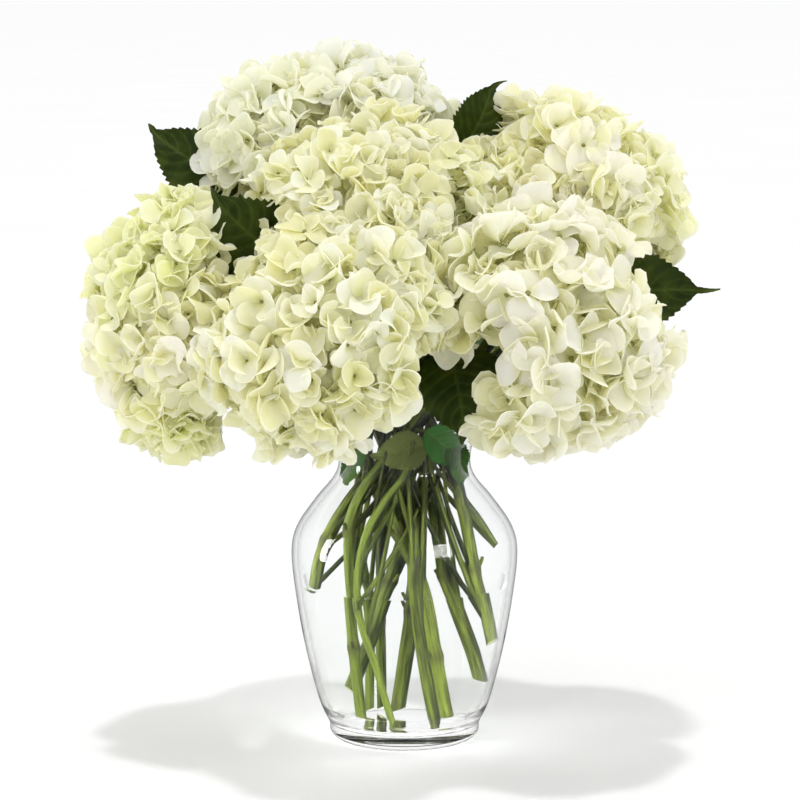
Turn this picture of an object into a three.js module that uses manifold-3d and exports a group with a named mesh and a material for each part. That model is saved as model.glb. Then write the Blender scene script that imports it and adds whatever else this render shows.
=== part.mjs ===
// Cut hydrangeas standing in a clear glass vase with water.
// Millimetres, +Z up, the vase's flat foot centred on the origin, the front towards -Y.
//
// Order of work: the stems are routed first, because the water has a hole for each of them
// and room for them is cut from the flower heads. Neighbouring heads are bent clear of each
// other. Every piece ends as one closed solid.

import * as THREE from 'three';
import { mergeVertices } from 'three/addons/utils/BufferGeometryUtils.js';
import Module from 'manifold-3d';

const wasm = await Module();
wasm.setup();

// ---------------------------------------------------------------- driving dimensions
const GAP = 0.3; // air between pieces that touch on the real thing
const SLIVER = 0.04; // edges shorter than this are closed up once a solid is done

// vase: outer radius at each height, foot to lip
const FOOT_RADIUS = 36;
const FOOT_ROUND = { r: 40.6, z: 3.2 }; // where the foot turns up towards the heel
const HEEL = { r: 42.4, z: 8.5 };
const VASE_SIDE = [
  [HEEL.r, HEEL.z],
  [48.6, 22.6],
  [55.8, 51],
  [60.8, 79],
  [63.6, 105],
  [60.8, 120],
  [50.4, 135.7],
  [40, 148.5],
  [36.9, 158],
  [39, 170],
  [45, 184],
  [50.5, 196],
];
const GLASS = 3; // wall thickness
const VASE_FLOOR = 9; // thickness of the bottom
const INNER_CORNER = 9; // radius of the rounding between floor and wall inside
const INNER_FLAT = 32.5; // radius of the flat part of the inner floor
const CORNER_TURN = 1.32; // radians that the rounding turns through
const LIP_ROUND = 1.2; // how far the lip's crest stands above its edges
const VASE_SEGMENTS = 28;
const VASE_STEPS = 11; // rings from heel to lip
const WATER_GAP = 0.6; // between water and glass, measured where their facets come nearest
const WATER_LEVEL = 90;
const WATER_SEGMENTS = 28;

// flower heads: centre, the way the dome faces, radius across and radius along its axis
const HEADS = {
  front_left: { centre: [-34, -80, 237], faces: [-0.22, -0.76, 0.61], across: 73, along: 55 },
  front_right: { centre: [73, -68, 244], faces: [0.42, -0.78, 0.46], across: 73, along: 60 },
  centre: { centre: [-17, -24, 291], faces: [0.05, -0.5, 0.86], across: 72, along: 54 },
  top_left: { centre: [-42, 63, 334], faces: [-0.15, 0.25, 0.95], across: 75, along: 54 },
  top_right: { centre: [95, 33, 304], faces: [0.5, 0.2, 0.84], across: 76, along: 58 },
  left: { centre: [-122, -5, 238], faces: [-0.96, -0.1, 0.12], across: 72, along: 52 },
  back: { centre: [5, 88, 246], faces: [0.05, 0.85, 0.5], across: 69, along: 54 },
};
const FLORETS = 27; // on each head
const FLORET_RADIUS = 22;
const STALK_RADIUS = 1.9;
const THROAT = 7.5; // depth of a floret from its rim to where its stalk begins
const LAYERS = [2, 8.5, 15]; // how far under the dome's surface each layer of florets lies
const CORE_SHARE = 0.68; // the core's size as a share of the head's
const FLORET_TILT = 0.5; // how far florets lean away from the dome's own direction
const PETAL_HALF = 0.51; // half the angle of a petal, radians
const NOTCH = 0.55; // radius between two petals as a share of the floret's
const DISH = 0.14; // depth of the eye, and lift of a petal's edge, as a share of the radius
const SQUASH_FROM = 9; // florets this near a neighbouring head start to fold back
const HEAD_SEED = 607;
const SIMPLER = 0.5; // detail finer than this is dropped where florets were joined
const BARE_ANGLE = 2.0; // radians from the dome's top to where the florets end

// stems: the points that each passes, cut end first
const STEMS = {
  stem_front_right: {
    radius: 3.9,
    route: [[-51, -4, 84], [-47, -3, 104], [-35, 0, 128],
      [-12, -3, 158], [10, -12, 184], [25, -18, 201]],
    head: 'front_right',
    approach: 20,
  },
  stem_back: {
    radius: 3.6,
    route: [[17, -21, 11], [10, -20, 50], [5, -20, 92], [6, -6, 128], [1, 8, 158], [1, 24, 188]],
    head: 'back',
    approach: 18,
  },
  stem_left: {
    radius: 4.2,
    route: [[43, 5, 30], [30, 2, 68], [22, 0, 94], [18, 0, 124],
      [9, 0, 158], [-14, 5, 184], [-46, 3, 212]],
    head: 'left',
    approach: 20,
  },
  stem_top_left: {
    radius: 4.3,
    route: [[-4, 12, 11], [3, 14, 60], [6, 15, 92], [2, 17, 130],
      [-8, 19, 158], [-30, 30, 205], [-42, 42, 250]],
    head: 'top_left',
    approach: 20,
  },
  stem_top_right: {
    radius: 4,
    route: [[-30, 5, 24], [-16, 3, 62], [-6, 3, 94], [6, 8, 130],
      [16, 11, 158], [34, 15, 200], [58, 22, 238]],
    head: 'top_right',
    approach: 20,
  },
  stem_front_left: {
    radius: 4.2,
    route: [[23, -5, 11], [15, -5, 56], [9, -4, 90], [-8, -10, 128],
      [-21, -12, 158], [-20, -27, 189], [-24, -38, 202]],
    head: 'front_left',
    approach: 0,
  },
  stem_centre: {
    radius: 3.7,
    route: [[48, -6, 54], [40, -7, 92], [34, -8, 124], [25, -4, 158], [12, -2, 184], [4, -4, 205]],
    head: 'centre',
    approach: 20,
  },
  leaf_stem_below: {
    radius: 3.2,
    route: [[-23, -12, 11], [-27, -14, 52], [-30, -15, 92], [-29, -19, 130],
      [-13, -20, 158], [6, -22, 184], [24, -27, 206]],
  },
  leaf_stem_neck: {
    radius: 2.1,
    route: [[-6, -22, 11], [-16, -25, 48], [-26, -26, 84],
      [-20, -31, 124], [2, -28, 158], [4, -29, 174]],
  },
  leaf_stem_left: {
    radius: 2.7,
    route: [[-19, 16, 11], [-19, 14, 66], [-25, 12, 104], [-27, 10, 132],
      [-26, 9, 158], [-37, 16, 196], [-72, 30, 246], [-90, 38, 290]],
  },
  leaf_stem_top: {
    radius: 2.9,
    route: [[-12, 25, 11], [-13, 26, 60], [-14, 25, 104], [-12, 26, 132], [2, 28, 158],
      [10, 28, 205], [20, 26, 248], [29, 25, 292], [30, 24, 322]],
  },
  leaf_stem_right: {
    radius: 2,
    route: [[52, 4, 108], [42, 0, 124], [30, 0, 142], [27, 4, 158],
      [36, 10, 182], [44, 12, 200], [82, 14, 228], [118, 8, 252]],
  },
};
const STEM_SIDES = 6;
const STEM_STEP = 20; // length of one stretch of a stem
const CUT_SLANT = 0.55; // slope of a stem's cut end
const STEM_SUNK = 4; // how far a stem runs into the core of its head

// leaves: where the stalk leaves the stem, where the blade starts, its tip, which way its face
// looks, and its width
const LEAVES = {
  leaf_stem_left: [
    { from: [-84, 35, 276], base: [-95, 40, 306], tip: [-148, 45, 342], looks: [-0.3, -0.9, 0.3], width: 44 },
  ],
  stem_left: [
    { from: [-62, 2, 222], base: [-80, -26, 268], tip: [-116, -44, 310], looks: [-0.4, -0.9, 0.2],
      width: 48 },
  ],
  leaf_stem_top: [
    { from: [30, 24, 322], base: [31, 26, 328], tip: [53, 36, 373], looks: [0.5, -0.85, 0.1], width: 38 },
  ],
  leaf_stem_right: [
    { from: [104, 10, 246], base: [116, 9, 254], tip: [178, 10, 246], looks: [0.1, -0.95, 0.3], width: 46 },
  ],
  leaf_stem_below: [
    { from: [24, -27, 206], base: [25, -43, 222], tip: [38, -59, 166], looks: [0.1, -0.9, 0.1], width: 44 },
    { from: [2, -22, 180], base: [9, -25, 180], tip: [25, -21, 158], looks: [0.1, -0.9, 0.1], width: 17 },
  ],
  leaf_stem_neck: [
    { from: [4, -29, 174], base: [1, -29, 174], tip: [-17, -26.5, 161], looks: [0.1, -0.9, 0.2], width: 19 },
  ],
  stem_back: [
    { from: [2, 41, 218], base: [-10, 47, 216], tip: [-74, 84, 200], looks: [-0.3, 0.3, 0.9], width: 46 },
    { from: [2, 41, 218], base: [14, 46, 216], tip: [78, 80, 204], looks: [0.3, 0.3, 0.9], width: 46 },
  ],
};
const LEAF_THICKNESS = 0.9;
const TIP_HALF_WIDTH = 0.5;
const LEAF_TEETH = 5; // on each margin
const TOOTH = 0.18; // depth of a tooth as a share of the half width
const LEAF_ARCH = 0.1; // rise of the blade's middle as a share of its length
const LEAF_DROOP = 0.12; // fall of its tip
const LEAF_FOLD = 0.2; // slope of each half up from the midrib
const PETIOLE_RADIUS = 1.5;

const COLOURS = {
  glass: '#dfe8ea',
  water: '#e6edec',
  petals: { front_left: '#efe9cf', front_right: '#f2efe0', centre: '#eee8cf', top_left: '#ece7cc',
    top_right: '#eae8c4', left: '#e6e6b4', back: '#ece8cb' },
  stem: '#6f8a35',
  leafStem: '#47612f',
};

// ---------------------------------------------------------------- solids and meshes
const vector = (p) => new THREE.Vector3(...p);

function solidOf(geometry) {
  const bare = geometry.index ? geometry.toNonIndexed() : geometry.clone();
  bare.deleteAttribute('normal');
  bare.deleteAttribute('uv');
  const merged = mergeVertices(bare, 1e-3);
  const mesh = new wasm.Mesh({
    numProp: 3,
    vertProperties: new Float32Array(merged.attributes.position.array),
    triVerts: new Uint32Array(merged.index.array),
  });
  return new wasm.Manifold(mesh);
}

// The outer skin of the largest body: closed hollows are filled and loose scraps dropped.
function wholeBody(solid) {
  const bodies = solid.decompose().sort((a, b) => b.volume() - a.volume());
  return bodies[0];
}

function geometryOf(solid) {
  const mesh = solid.simplify(SLIVER).getMesh();
  const geometry = new THREE.BufferGeometry();
  geometry.setAttribute('position', new THREE.BufferAttribute(new Float32Array(mesh.vertProperties), 3));
  geometry.setIndex(new THREE.BufferAttribute(new Uint32Array(mesh.triVerts), 1));
  geometry.computeVertexNormals();
  return geometry;
}

function addMesh(name, geometry, colour, roughness, more = {}) {
  const material = new THREE.MeshStandardMaterial({ color: colour, roughness, metalness: 0, ...more });
  const mesh = new THREE.Mesh(geometry, material);
  mesh.name = name;
  group.add(mesh);
}

// Repeatable random numbers from 0 to 1.
function seeded(seed) {
  let state = seed >>> 0;
  return () => {
    state = (Math.imul(state, 1664525) + 1013904223) >>> 0;
    return state / 4294967296;
  };
}

// ---------------------------------------------------------------- vase and water
const vaseSide = new THREE.SplineCurve(VASE_SIDE.map((p) => new THREE.Vector2(...p)));

// The side moved inwards by a distance, bottom to top, above a given height.
function sideInwardBy(distance, points, lowest) {
  const line = [];
  for (let i = 0; i <= points; i += 1) {
    const at = vaseSide.getPoint(i / points);
    const along = vaseSide.getTangent(i / points);
    const moved = new THREE.Vector2(at.x - along.y * distance, at.y + along.x * distance);
    if (moved.y > lowest) line.push(moved);
  }
  return line;
}

function innerRadiusAt(z) {
  const line = sideInwardBy(GLASS, 40, 0);
  const k = line.findIndex((p) => p.y > z);
  if (k < 1) return line[k === 0 ? 0 : line.length - 1].x;
  const share = (z - line[k - 1].y) / (line[k].y - line[k - 1].y);
  return THREE.MathUtils.lerp(line[k - 1].x, line[k].x, share);
}

// The rounding inside the vase, from the flat floor up to the wall's slope.
function corner(radius, fromR, floorZ, steps) {
  const arc = [];
  for (let i = 0; i <= steps; i += 1) {
    const a = (i / steps) * CORNER_TURN;
    arc.push(new THREE.Vector2(fromR + radius * Math.sin(a), floorZ + radius * (1 - Math.cos(a))));
  }
  return arc;
}

function vaseGeometry() {
  const outside = [new THREE.Vector2(0, 0), new THREE.Vector2(FOOT_RADIUS, 0)];
  outside.push(new THREE.Vector2(FOOT_ROUND.r, FOOT_ROUND.z), ...vaseSide.getPoints(VASE_STEPS));
  const inside = sideInwardBy(GLASS, VASE_STEPS, VASE_FLOOR + INNER_CORNER).reverse();
  const lipOut = outside[outside.length - 1];
  const lipIn = inside[0];
  const lipTop = new THREE.Vector2((lipOut.x + lipIn.x) / 2, Math.max(lipOut.y, lipIn.y) + LIP_ROUND);
  const floor = corner(INNER_CORNER, INNER_FLAT, VASE_FLOOR, 3).reverse();
  const profile = [...outside, lipTop, ...inside, ...floor, new THREE.Vector2(0, VASE_FLOOR)];
  return new THREE.LatheGeometry(profile, VASE_SEGMENTS).rotateX(Math.PI / 2);
}

function waterGeometry() {
  const bottom = VASE_FLOOR + WATER_GAP;
  const wall = sideInwardBy(GLASS + WATER_GAP, VASE_STEPS, bottom + INNER_CORNER);
  const side = wall.filter((p) => p.y < WATER_LEVEL - 3);
  const floor = corner(INNER_CORNER, INNER_FLAT - WATER_GAP, bottom, 3);
  const rim = new THREE.Vector2(innerRadiusAt(WATER_LEVEL) - WATER_GAP, WATER_LEVEL);
  const profile = [new THREE.Vector2(0, bottom), ...floor, ...side, rim, new THREE.Vector2(0, WATER_LEVEL)];
  return new THREE.LatheGeometry(profile, WATER_SEGMENTS).rotateX(Math.PI / 2);
}

// ---------------------------------------------------------------- stems
// A stem's line as points one stretch apart.
function lineOf(stem) {
  const points = stem.route.map(vector);
  if (stem.head) points.push(...headEntry(HEADS[stem.head], stem.approach));
  const curve = new THREE.CatmullRomCurve3(points, false, 'centripetal');
  const steps = Math.max(2, Math.round(curve.getLength() / STEM_STEP));
  return curve.getSpacedPoints(steps);
}

// The last points of a stem: along the head's axis, and just into its core.
function headEntry(head, approach) {
  const axis = vector(head.faces).normalize();
  const depth = head.along * CORE_SHARE;
  const below = (distance) => vector(head.centre).addScaledVector(axis, -distance);
  const end = below(depth - STEM_SUNK);
  return approach > 0 ? [below(depth + approach), end] : [end];
}

// Stems that pass too close are eased apart sideways, and held inside the glass.
function easeApart(lines, radii) {
  const names = Object.keys(lines);
  for (let round = 0; round < 160; round += 1) {
    for (let i = 0; i < names.length; i += 1) {
      for (let j = i + 1; j < names.length; j += 1) {
        easePair(lines[names[i]], lines[names[j]], radii[names[i]] + radii[names[j]] + 3 * GAP);
      }
    }
    for (const name of names) lines[name].forEach((p) => keepInside(p, radii[name]));
  }
}

function easePair(one, other, reach) {
  for (const p of one) {
    for (let k = 0; k < other.length - 1; k += 1) {
      const near = new THREE.Line3(other[k], other[k + 1]).closestPointToPoint(p, true, new THREE.Vector3());
      const apart = p.clone().sub(near);
      const short = reach - apart.length();
      if (short <= 0) continue;
      const push = apart.setZ(0).setLength(short * 0.5);
      p.add(push);
      other[k].addScaledVector(push, -0.5);
      other[k + 1].addScaledVector(push, -0.5);
    }
  }
}

function keepInside(p, radius) {
  if (p.z > VASE_SIDE[VASE_SIDE.length - 1][1] + 4) return;
  const room = innerRadiusAt(p.z) - radius * 1.15 - 1.2;
  const reach = Math.hypot(p.x, p.y);
  if (reach > room) {
    p.x *= room / reach;
    p.y *= room / reach;
  }
}

function tube(points, radius, sides, slant) {
  const ring = [];
  for (let i = 0; i < sides; i += 1) {
    const a = (i / sides) * 2 * Math.PI;
    ring.push(new THREE.Vector2(radius * Math.cos(a), radius * Math.sin(a)));
  }
  const curve = points.length > 2 ? new THREE.CatmullRomCurve3(points, false, 'centripetal') : null;
  const path = curve ?? new THREE.LineCurve3(...points);
  const steps = points.length - 1;
  const geometry = new THREE.ExtrudeGeometry(new THREE.Shape(ring), { extrudePath: path, steps });
  if (slant) slantStart(geometry, path, radius, slant);
  return geometry;
}

// The first ring is sheared along the path, as a knife cuts a stem.
function slantStart(geometry, path, radius, slope) {
  const start = path.getPoint(0);
  const along = path.getTangent(0);
  const across = new THREE.Vector3(1, 0.6, 0).cross(along).normalize();
  const position = geometry.attributes.position;
  const p = new THREE.Vector3();
  for (let i = 0; i < position.count; i += 1) {
    p.fromBufferAttribute(position, i).sub(start);
    if (Math.abs(p.dot(along)) > 0.4 || p.length() > radius * 1.2) continue;
    const lift = (p.dot(across) + radius) * slope;
    p.addScaledVector(along, lift).add(start);
    position.setXYZ(i, p.x, p.y, p.z);
  }
}

// ---------------------------------------------------------------- leaves
// Half width of a leaf at share s of its length: round below, drawn out to a drip tip.
function leafHalfWidth(s, width) {
  const body = Math.sin(Math.PI * Math.min(1, s ** 0.72)) ** 0.8;
  return Math.max(TIP_HALF_WIDTH, (width / 2) * body * (1 - 0.25 * s));
}

// Points of a blade: s runs from base to tip, v across from -1 to 1, face is 1 above, -1 below.
// grow adds clearance all round, for cutting room in a flower head.
function leafSurface(leaf, grow) {
  const base = vector(leaf.base);
  const along = vector(leaf.tip).sub(base);
  const length = along.length() + 3 * grow;
  along.normalize();
  const side = along.clone().cross(vector(leaf.looks)).normalize();
  const up = side.clone().cross(along).normalize();
  return (s, v, face) => {
    const half = leafHalfWidth(s, leaf.width) + grow;
    const bow = length * (LEAF_ARCH * Math.sin(Math.PI * s) - LEAF_DROOP * s * s);
    const arch = bow + LEAF_FOLD * half * Math.abs(v);
    return base.clone()
      .addScaledVector(along, s * length - grow)
      .addScaledVector(side, v * half)
      .addScaledVector(up, arch + face * (LEAF_THICKNESS / 2 + grow));
  };
}

// A closed toothed blade: every second station is bitten in.
function leafBlade(at) {
  const stations = LEAF_TEETH * 2;
  const rows = [];
  for (let i = 0; i <= stations; i += 1) {
    const s = 0.03 + (0.97 * i) / stations;
    const bite = i % 2 === 0 ? 1 : 1 - TOOTH;
    rows.push([-bite, 0, bite].map((v) => [at(s, v, 1), at(s, v, -1)]));
  }
  return bladeBetween(rows);
}

// Triangles between rows of point pairs: both faces alike, and a rim all round.
function bladeBetween(rows) {
  const faces = [];
  const quad = (a, b, c, d) => faces.push(a, b, c, a, c, d);
  const last = rows.length - 1;
  for (let i = 0; i < last; i += 1) {
    const [l, m, r] = rows[i];
    const [L, M, R] = rows[i + 1];
    quad(l[0], m[0], M[0], L[0]);
    quad(m[0], r[0], R[0], M[0]);
    quad(l[1], L[1], M[1], m[1]);
    quad(m[1], M[1], R[1], r[1]);
    quad(l[0], L[0], L[1], l[1]);
    quad(r[0], r[1], R[1], R[0]);
  }
  const [a, b, c] = rows[0];
  quad(a[0], a[1], b[1], b[0]);
  quad(b[0], b[1], c[1], c[0]);
  const [x, y, z] = rows[last];
  quad(x[0], y[0], y[1], x[1]);
  quad(y[0], z[0], z[1], y[1]);
  return new THREE.BufferGeometry().setFromPoints(faces);
}

// The stem with its petioles and leaves, as one solid.
function leafyStem(name, lines, grow) {
  const { radius } = STEMS[name];
  let solid = solidOf(tube(lengthened(lines[name], grow * 2), radius + grow, STEM_SIDES, CUT_SLANT));
  for (const leaf of LEAVES[name] ?? []) {
    const joint = nearestOn(lines[name], vector(leaf.from));
    const at = leafSurface(leaf, grow);
    const blade = solidOf(leafBlade(at));
    const stalk = solidOf(tube([joint, at(0.02, 0, 0)], PETIOLE_RADIUS + grow, 4, 0));
    const rib = solidOf(tube([at(0, 0, 0), at(0.16, 0, 0)], PETIOLE_RADIUS + grow, 4, 0));
    solid = solid.add(stalk).add(rib).add(blade);
  }
  return wholeBody(solid);
}

// The line with both ends moved outwards.
function lengthened(line, distance) {
  const points = line.map((p) => p.clone());
  for (const [end, next] of [[0, 1], [line.length - 1, line.length - 2]]) {
    points[end].add(line[end].clone().sub(line[next]).setLength(distance));
  }
  return points;
}

function nearestOn(line, point) {
  let best = line[0];
  for (const p of line) if (p.distanceTo(point) < best.distanceTo(point)) best = p;
  return best.clone();
}

// ---------------------------------------------------------------- flower heads
// Distance from a head's centre to its surface along a unit direction.
function headReach(head, direction) {
  const t = direction.dot(vector(head.faces).normalize());
  return 1 / Math.sqrt((1 - t * t) / head.across ** 2 + (t * t) / head.along ** 2);
}

// The planes that part a head from its neighbours, each halfway through their overlap.
function partings(name) {
  const head = HEADS[name];
  const planes = [];
  for (const [otherName, other] of Object.entries(HEADS)) {
    if (otherName === name) continue;
    const toOther = vector(other.centre).sub(vector(head.centre));
    const apart = toOther.length();
    toOther.normalize();
    const mine = headReach(head, toOther);
    const theirs = headReach(other, toOther.clone().negate());
    if (apart > mine + theirs + 2 * FLORET_RADIUS) continue;
    const where = mine + (apart - mine - theirs) / 2;
    planes.push({ normal: toOther, point: vector(head.centre).addScaledVector(toOther, where) });
  }
  return planes;
}

// Crowded florets fold back from the parting plane: the nearer they are, the more they give.
function bendClear(point, planes) {
  for (let round = 0; round < 3; round += 1) {
    for (const { normal, point: on } of planes) {
      const s = point.clone().sub(on).dot(normal);
      if (s < -SQUASH_FROM) continue;
      const room = SQUASH_FROM - GAP;
      const folded = -GAP - room * Math.exp(-(s + SQUASH_FROM) / room);
      point.addScaledVector(normal, folded - s);
    }
  }
  return point;
}

// One four-petalled floret: a wavy dished rim, and a slim stalk that runs back into the core.
function floret(centre, outward, radius, stalk, random) {
  const spin = random() * Math.PI;
  const across = new THREE.Vector3(0.3, 0.5, 0.8).cross(outward).normalize();
  const up = outward.clone().cross(across);
  const place = (a, r, h) => centre.clone()
    .addScaledVector(across, r * Math.cos(a))
    .addScaledVector(up, r * Math.sin(a))
    .addScaledVector(outward, h);
  const rim = [];
  for (let petal = 0; petal < 4; petal += 1) {
    const a = spin + (petal * Math.PI) / 2;
    const lift = (random() - 0.4) * 0.2 * radius;
    const reach = radius * (0.86 + 0.2 * random());
    rim.push(place(a - PETAL_HALF, reach * 0.95, lift + DISH * radius));
    rim.push(place(a + PETAL_HALF, reach, lift));
    rim.push(place(a + Math.PI / 4, radius * NOTCH, -DISH * radius));
  }
  const eye = place(0, 0, -DISH * radius);
  const quarter = (k) => spin + ((k + 0.5) * Math.PI) / 2;
  const throat = [0, 1, 2, 3].map((k) => place(quarter(k), STALK_RADIUS, -THROAT));
  const root = place(0, 0, -stalk);
  const faces = [];
  rim.forEach((p, i) => {
    const q = rim[(i + 1) % rim.length];
    const near = throat[Math.floor(i / 3)];
    const next = throat[(Math.floor(i / 3) + 1) % 4];
    faces.push(eye, p, q, near, q, p);
    if (i % 3 === 2) faces.push(near, next, q, root, next, near);
  });
  return faces;
}

// The turn that takes +Z to the way a head's dome faces.
function domeTurn(head) {
  const up = new THREE.Vector3(0, 0, 1);
  return new THREE.Quaternion().setFromUnitVectors(up, vector(head.faces).normalize());
}

function headCore(head) {
  const core = new THREE.IcosahedronGeometry(1, 1);
  core.scale(head.across * CORE_SHARE, head.across * CORE_SHARE, head.along * CORE_SHARE);
  core.applyQuaternion(domeTurn(head));
  core.translate(...head.centre);
  return core;
}

// Florets sit on a spiral from the dome's top down to the bare part round the stem.
function floretSites(head, random) {
  const turn = domeTurn(head);
  const golden = Math.PI * (3 - Math.sqrt(5));
  const lowest = Math.cos(BARE_ANGLE);
  const sites = [];
  for (let i = 0; i < FLORETS; i += 1) {
    const t = 1 - ((i + 0.5) / FLORETS) * (1 - lowest);
    const a = i * golden + (random() - 0.5) * 0.25;
    const r = Math.sqrt(1 - t * t);
    const unit = new THREE.Vector3(r * Math.cos(a), r * Math.sin(a), t);
    const surface = new THREE.Vector3(unit.x * head.across, unit.y * head.across, unit.z * head.along);
    const outward = new THREE.Vector3(unit.x / head.across, unit.y / head.across, unit.z / head.along);
    outward.normalize().applyQuaternion(turn);
    surface.applyQuaternion(turn).add(vector(head.centre));
    sites.push({ surface, outward, layer: freeLayer(surface, sites) });
  }
  return sites;
}

// The layer least used by the florets next to this one, so that neighbours pass over each other.
function freeLayer(surface, sites) {
  const crowding = LAYERS.map(() => 0);
  for (const other of sites) {
    const apart = other.surface.distanceTo(surface);
    if (apart < 2 * FLORET_RADIUS) crowding[other.layer] += 1 / apart;
  }
  return crowding.indexOf(Math.min(...crowding));
}

function bentSolid(geometry, planes) {
  const position = geometry.attributes.position;
  const p = new THREE.Vector3();
  for (let i = 0; i < position.count; i += 1) {
    bendClear(p.fromBufferAttribute(position, i), planes);
    position.setXYZ(i, p.x, p.y, p.z);
  }
  return solidOf(geometry);
}

function flowerHead(name, seed, stems) {
  const head = HEADS[name];
  const random = seeded(seed);
  const planes = partings(name);
  let solid = bentSolid(headCore(head), planes);
  for (const { surface, outward, layer } of floretSites(head, random)) {
    const buried = planes.some(({ normal, point }) => surface.clone().sub(point).dot(normal) > 1);
    const centre = surface.clone().addScaledVector(outward, -LAYERS[layer] - random());
    const stalk = (1 - CORE_SHARE) * head.along - LAYERS[layer] + 4 + THROAT;
    const radius = FLORET_RADIUS * (head.across / 68) * (0.9 + 0.2 * random());
    const tilt = new THREE.Vector3(random() - 0.5, random() - 0.5, random() - 0.5);
    const facing = outward.clone().addScaledVector(tilt, FLORET_TILT).normalize();
    const faces = floret(centre, facing, radius, stalk, random);
    if (buried) continue;
    solid = solid.add(bentSolid(new THREE.BufferGeometry().setFromPoints(faces), planes));
  }
  solid = wholeBody(solid).simplify(SIMPLER);
  for (const stem of stems) solid = solid.subtract(stem);
  return wholeBody(solid);
}

// ---------------------------------------------------------------- assembly
const group = new THREE.Group();

const radii = Object.fromEntries(Object.entries(STEMS).map(([name, stem]) => [name, stem.radius]));
const lines = Object.fromEntries(Object.entries(STEMS).map(([name, stem]) => [name, lineOf(stem)]));
easeApart(lines, radii);

const stemNames = Object.keys(STEMS);
const clearances = stemNames.map((name) => leafyStem(name, lines, GAP));

addMesh('vase', vaseGeometry(), COLOURS.glass, 0.05, { transparent: true, opacity: 0.35 });

let water = solidOf(waterGeometry());
for (const clearance of clearances) water = water.subtract(clearance);
const waterLook = { transparent: true, opacity: 0.4 };
addMesh('water', geometryOf(wholeBody(water)), COLOURS.water, 0.05, waterLook);

for (const name of stemNames) {
  const colour = name.startsWith('leaf') ? COLOURS.leafStem : COLOURS.stem;
  addMesh(name, geometryOf(leafyStem(name, lines, 0)), colour, 0.55);
}

Object.keys(HEADS).forEach((name, k) => {
  const geometry = geometryOf(flowerHead(name, HEAD_SEED + 37 * k, clearances));
  addMesh(`bloom_${name}`, geometry, COLOURS.petals[name], 0.75);
});

export default group;
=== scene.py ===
# %% [markdown]
# # White hydrangeas in a glass vase
#
# Seven heads of hydrangea and a few leafy shoots stand in water in a clear vase with a round belly, a
# drawn-in neck and a flared lip. Everything here is a surface worked out with numpy: a vase is a profile
# turned about an axis, a stem is a ring carried along a line, and a petal is a small grid that is bent by
# a formula. The frame holds the same object as plain solids, and each piece below stands for one of them.

import math

import bpy
import numpy as np
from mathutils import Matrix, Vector


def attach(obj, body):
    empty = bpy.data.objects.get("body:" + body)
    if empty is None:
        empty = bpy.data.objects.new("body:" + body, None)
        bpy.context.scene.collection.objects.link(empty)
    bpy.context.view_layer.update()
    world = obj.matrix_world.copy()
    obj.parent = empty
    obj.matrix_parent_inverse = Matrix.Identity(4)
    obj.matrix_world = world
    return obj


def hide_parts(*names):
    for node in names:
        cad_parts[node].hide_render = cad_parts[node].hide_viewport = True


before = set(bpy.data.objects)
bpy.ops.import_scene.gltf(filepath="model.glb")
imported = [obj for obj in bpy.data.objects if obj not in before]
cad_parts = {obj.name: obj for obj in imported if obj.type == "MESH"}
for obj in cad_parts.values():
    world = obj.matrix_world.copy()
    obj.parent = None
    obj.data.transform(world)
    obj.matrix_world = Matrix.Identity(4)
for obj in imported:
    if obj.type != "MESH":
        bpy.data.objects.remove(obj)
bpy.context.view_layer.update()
print("solids in the frame:", len(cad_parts))

# %% [markdown]
# ## Putting an array into a mesh
#
# All shapes are worked out in millimetres, with the middle of the vase's foot at the origin, and turned
# into metres in one place. A mesh could be built vertex by vertex in edit mode, but an array of points and
# an array of face corners say the same thing in two lines, and stay fast with a hundred thousand faces.
# Points may also carry numbers of their own, such as how deep in a flower head they lie, which a material
# reads later as an attribute.

# %% From arrays to a piece
MM = 0.001


def grid_faces(rows, columns, closed=False):
    """Quads between neighbouring rows of points; closed joins the last column to the first."""
    i, j = np.meshgrid(np.arange(rows - 1), np.arange(columns if closed else columns - 1), indexing="ij")
    a, b = i * columns + j, i * columns + (j + 1) % columns
    return np.stack([a, b, b + columns, a + columns], axis=-1).reshape(-1, 4)


def fan_faces(middle, ring, turned_over=False):
    """Triangles from one point to each edge of a closed ring of points."""
    ring = np.asarray(ring)
    following = np.roll(ring, -1)
    fan = np.stack([np.full(len(ring), middle), ring, following], axis=-1)
    return fan[:, ::-1] if turned_over else fan


class Parts:
    """Points, faces and the numbers that go with them, gathered from several shapes into one piece."""

    def __init__(self):
        self.points, self.faces, self.uv, self.values, self.looks, self.count = [], [], [], {}, [], 0

    def add(self, points, faces, look=0, uv=None, **values):
        points = np.asarray(points, float).reshape(-1, 3)
        for block, block_look in zip(faces, look if isinstance(look, list) else [look] * len(faces)):
            self.faces.append(np.asarray(block) + self.count)
            self.looks.append(np.full(len(block), block_look))
        self.points.append(points)
        self.uv.append(np.zeros((len(points), 2)) if uv is None else np.reshape(uv, (-1, 2)))
        for name in dict.fromkeys([*self.values, *values]):
            earlier = self.values.setdefault(name, [np.zeros(self.count)] if self.count else [])
            earlier.append(np.broadcast_to(values.get(name, 0.0), len(points)).astype(float))
        self.count += len(points)


def into_scene(name, data):
    """A new object for a mesh, a lamp or a camera, placed in the scene."""
    thing = bpy.data.objects.new(name, data)
    bpy.context.scene.collection.objects.link(thing)
    return thing


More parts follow.
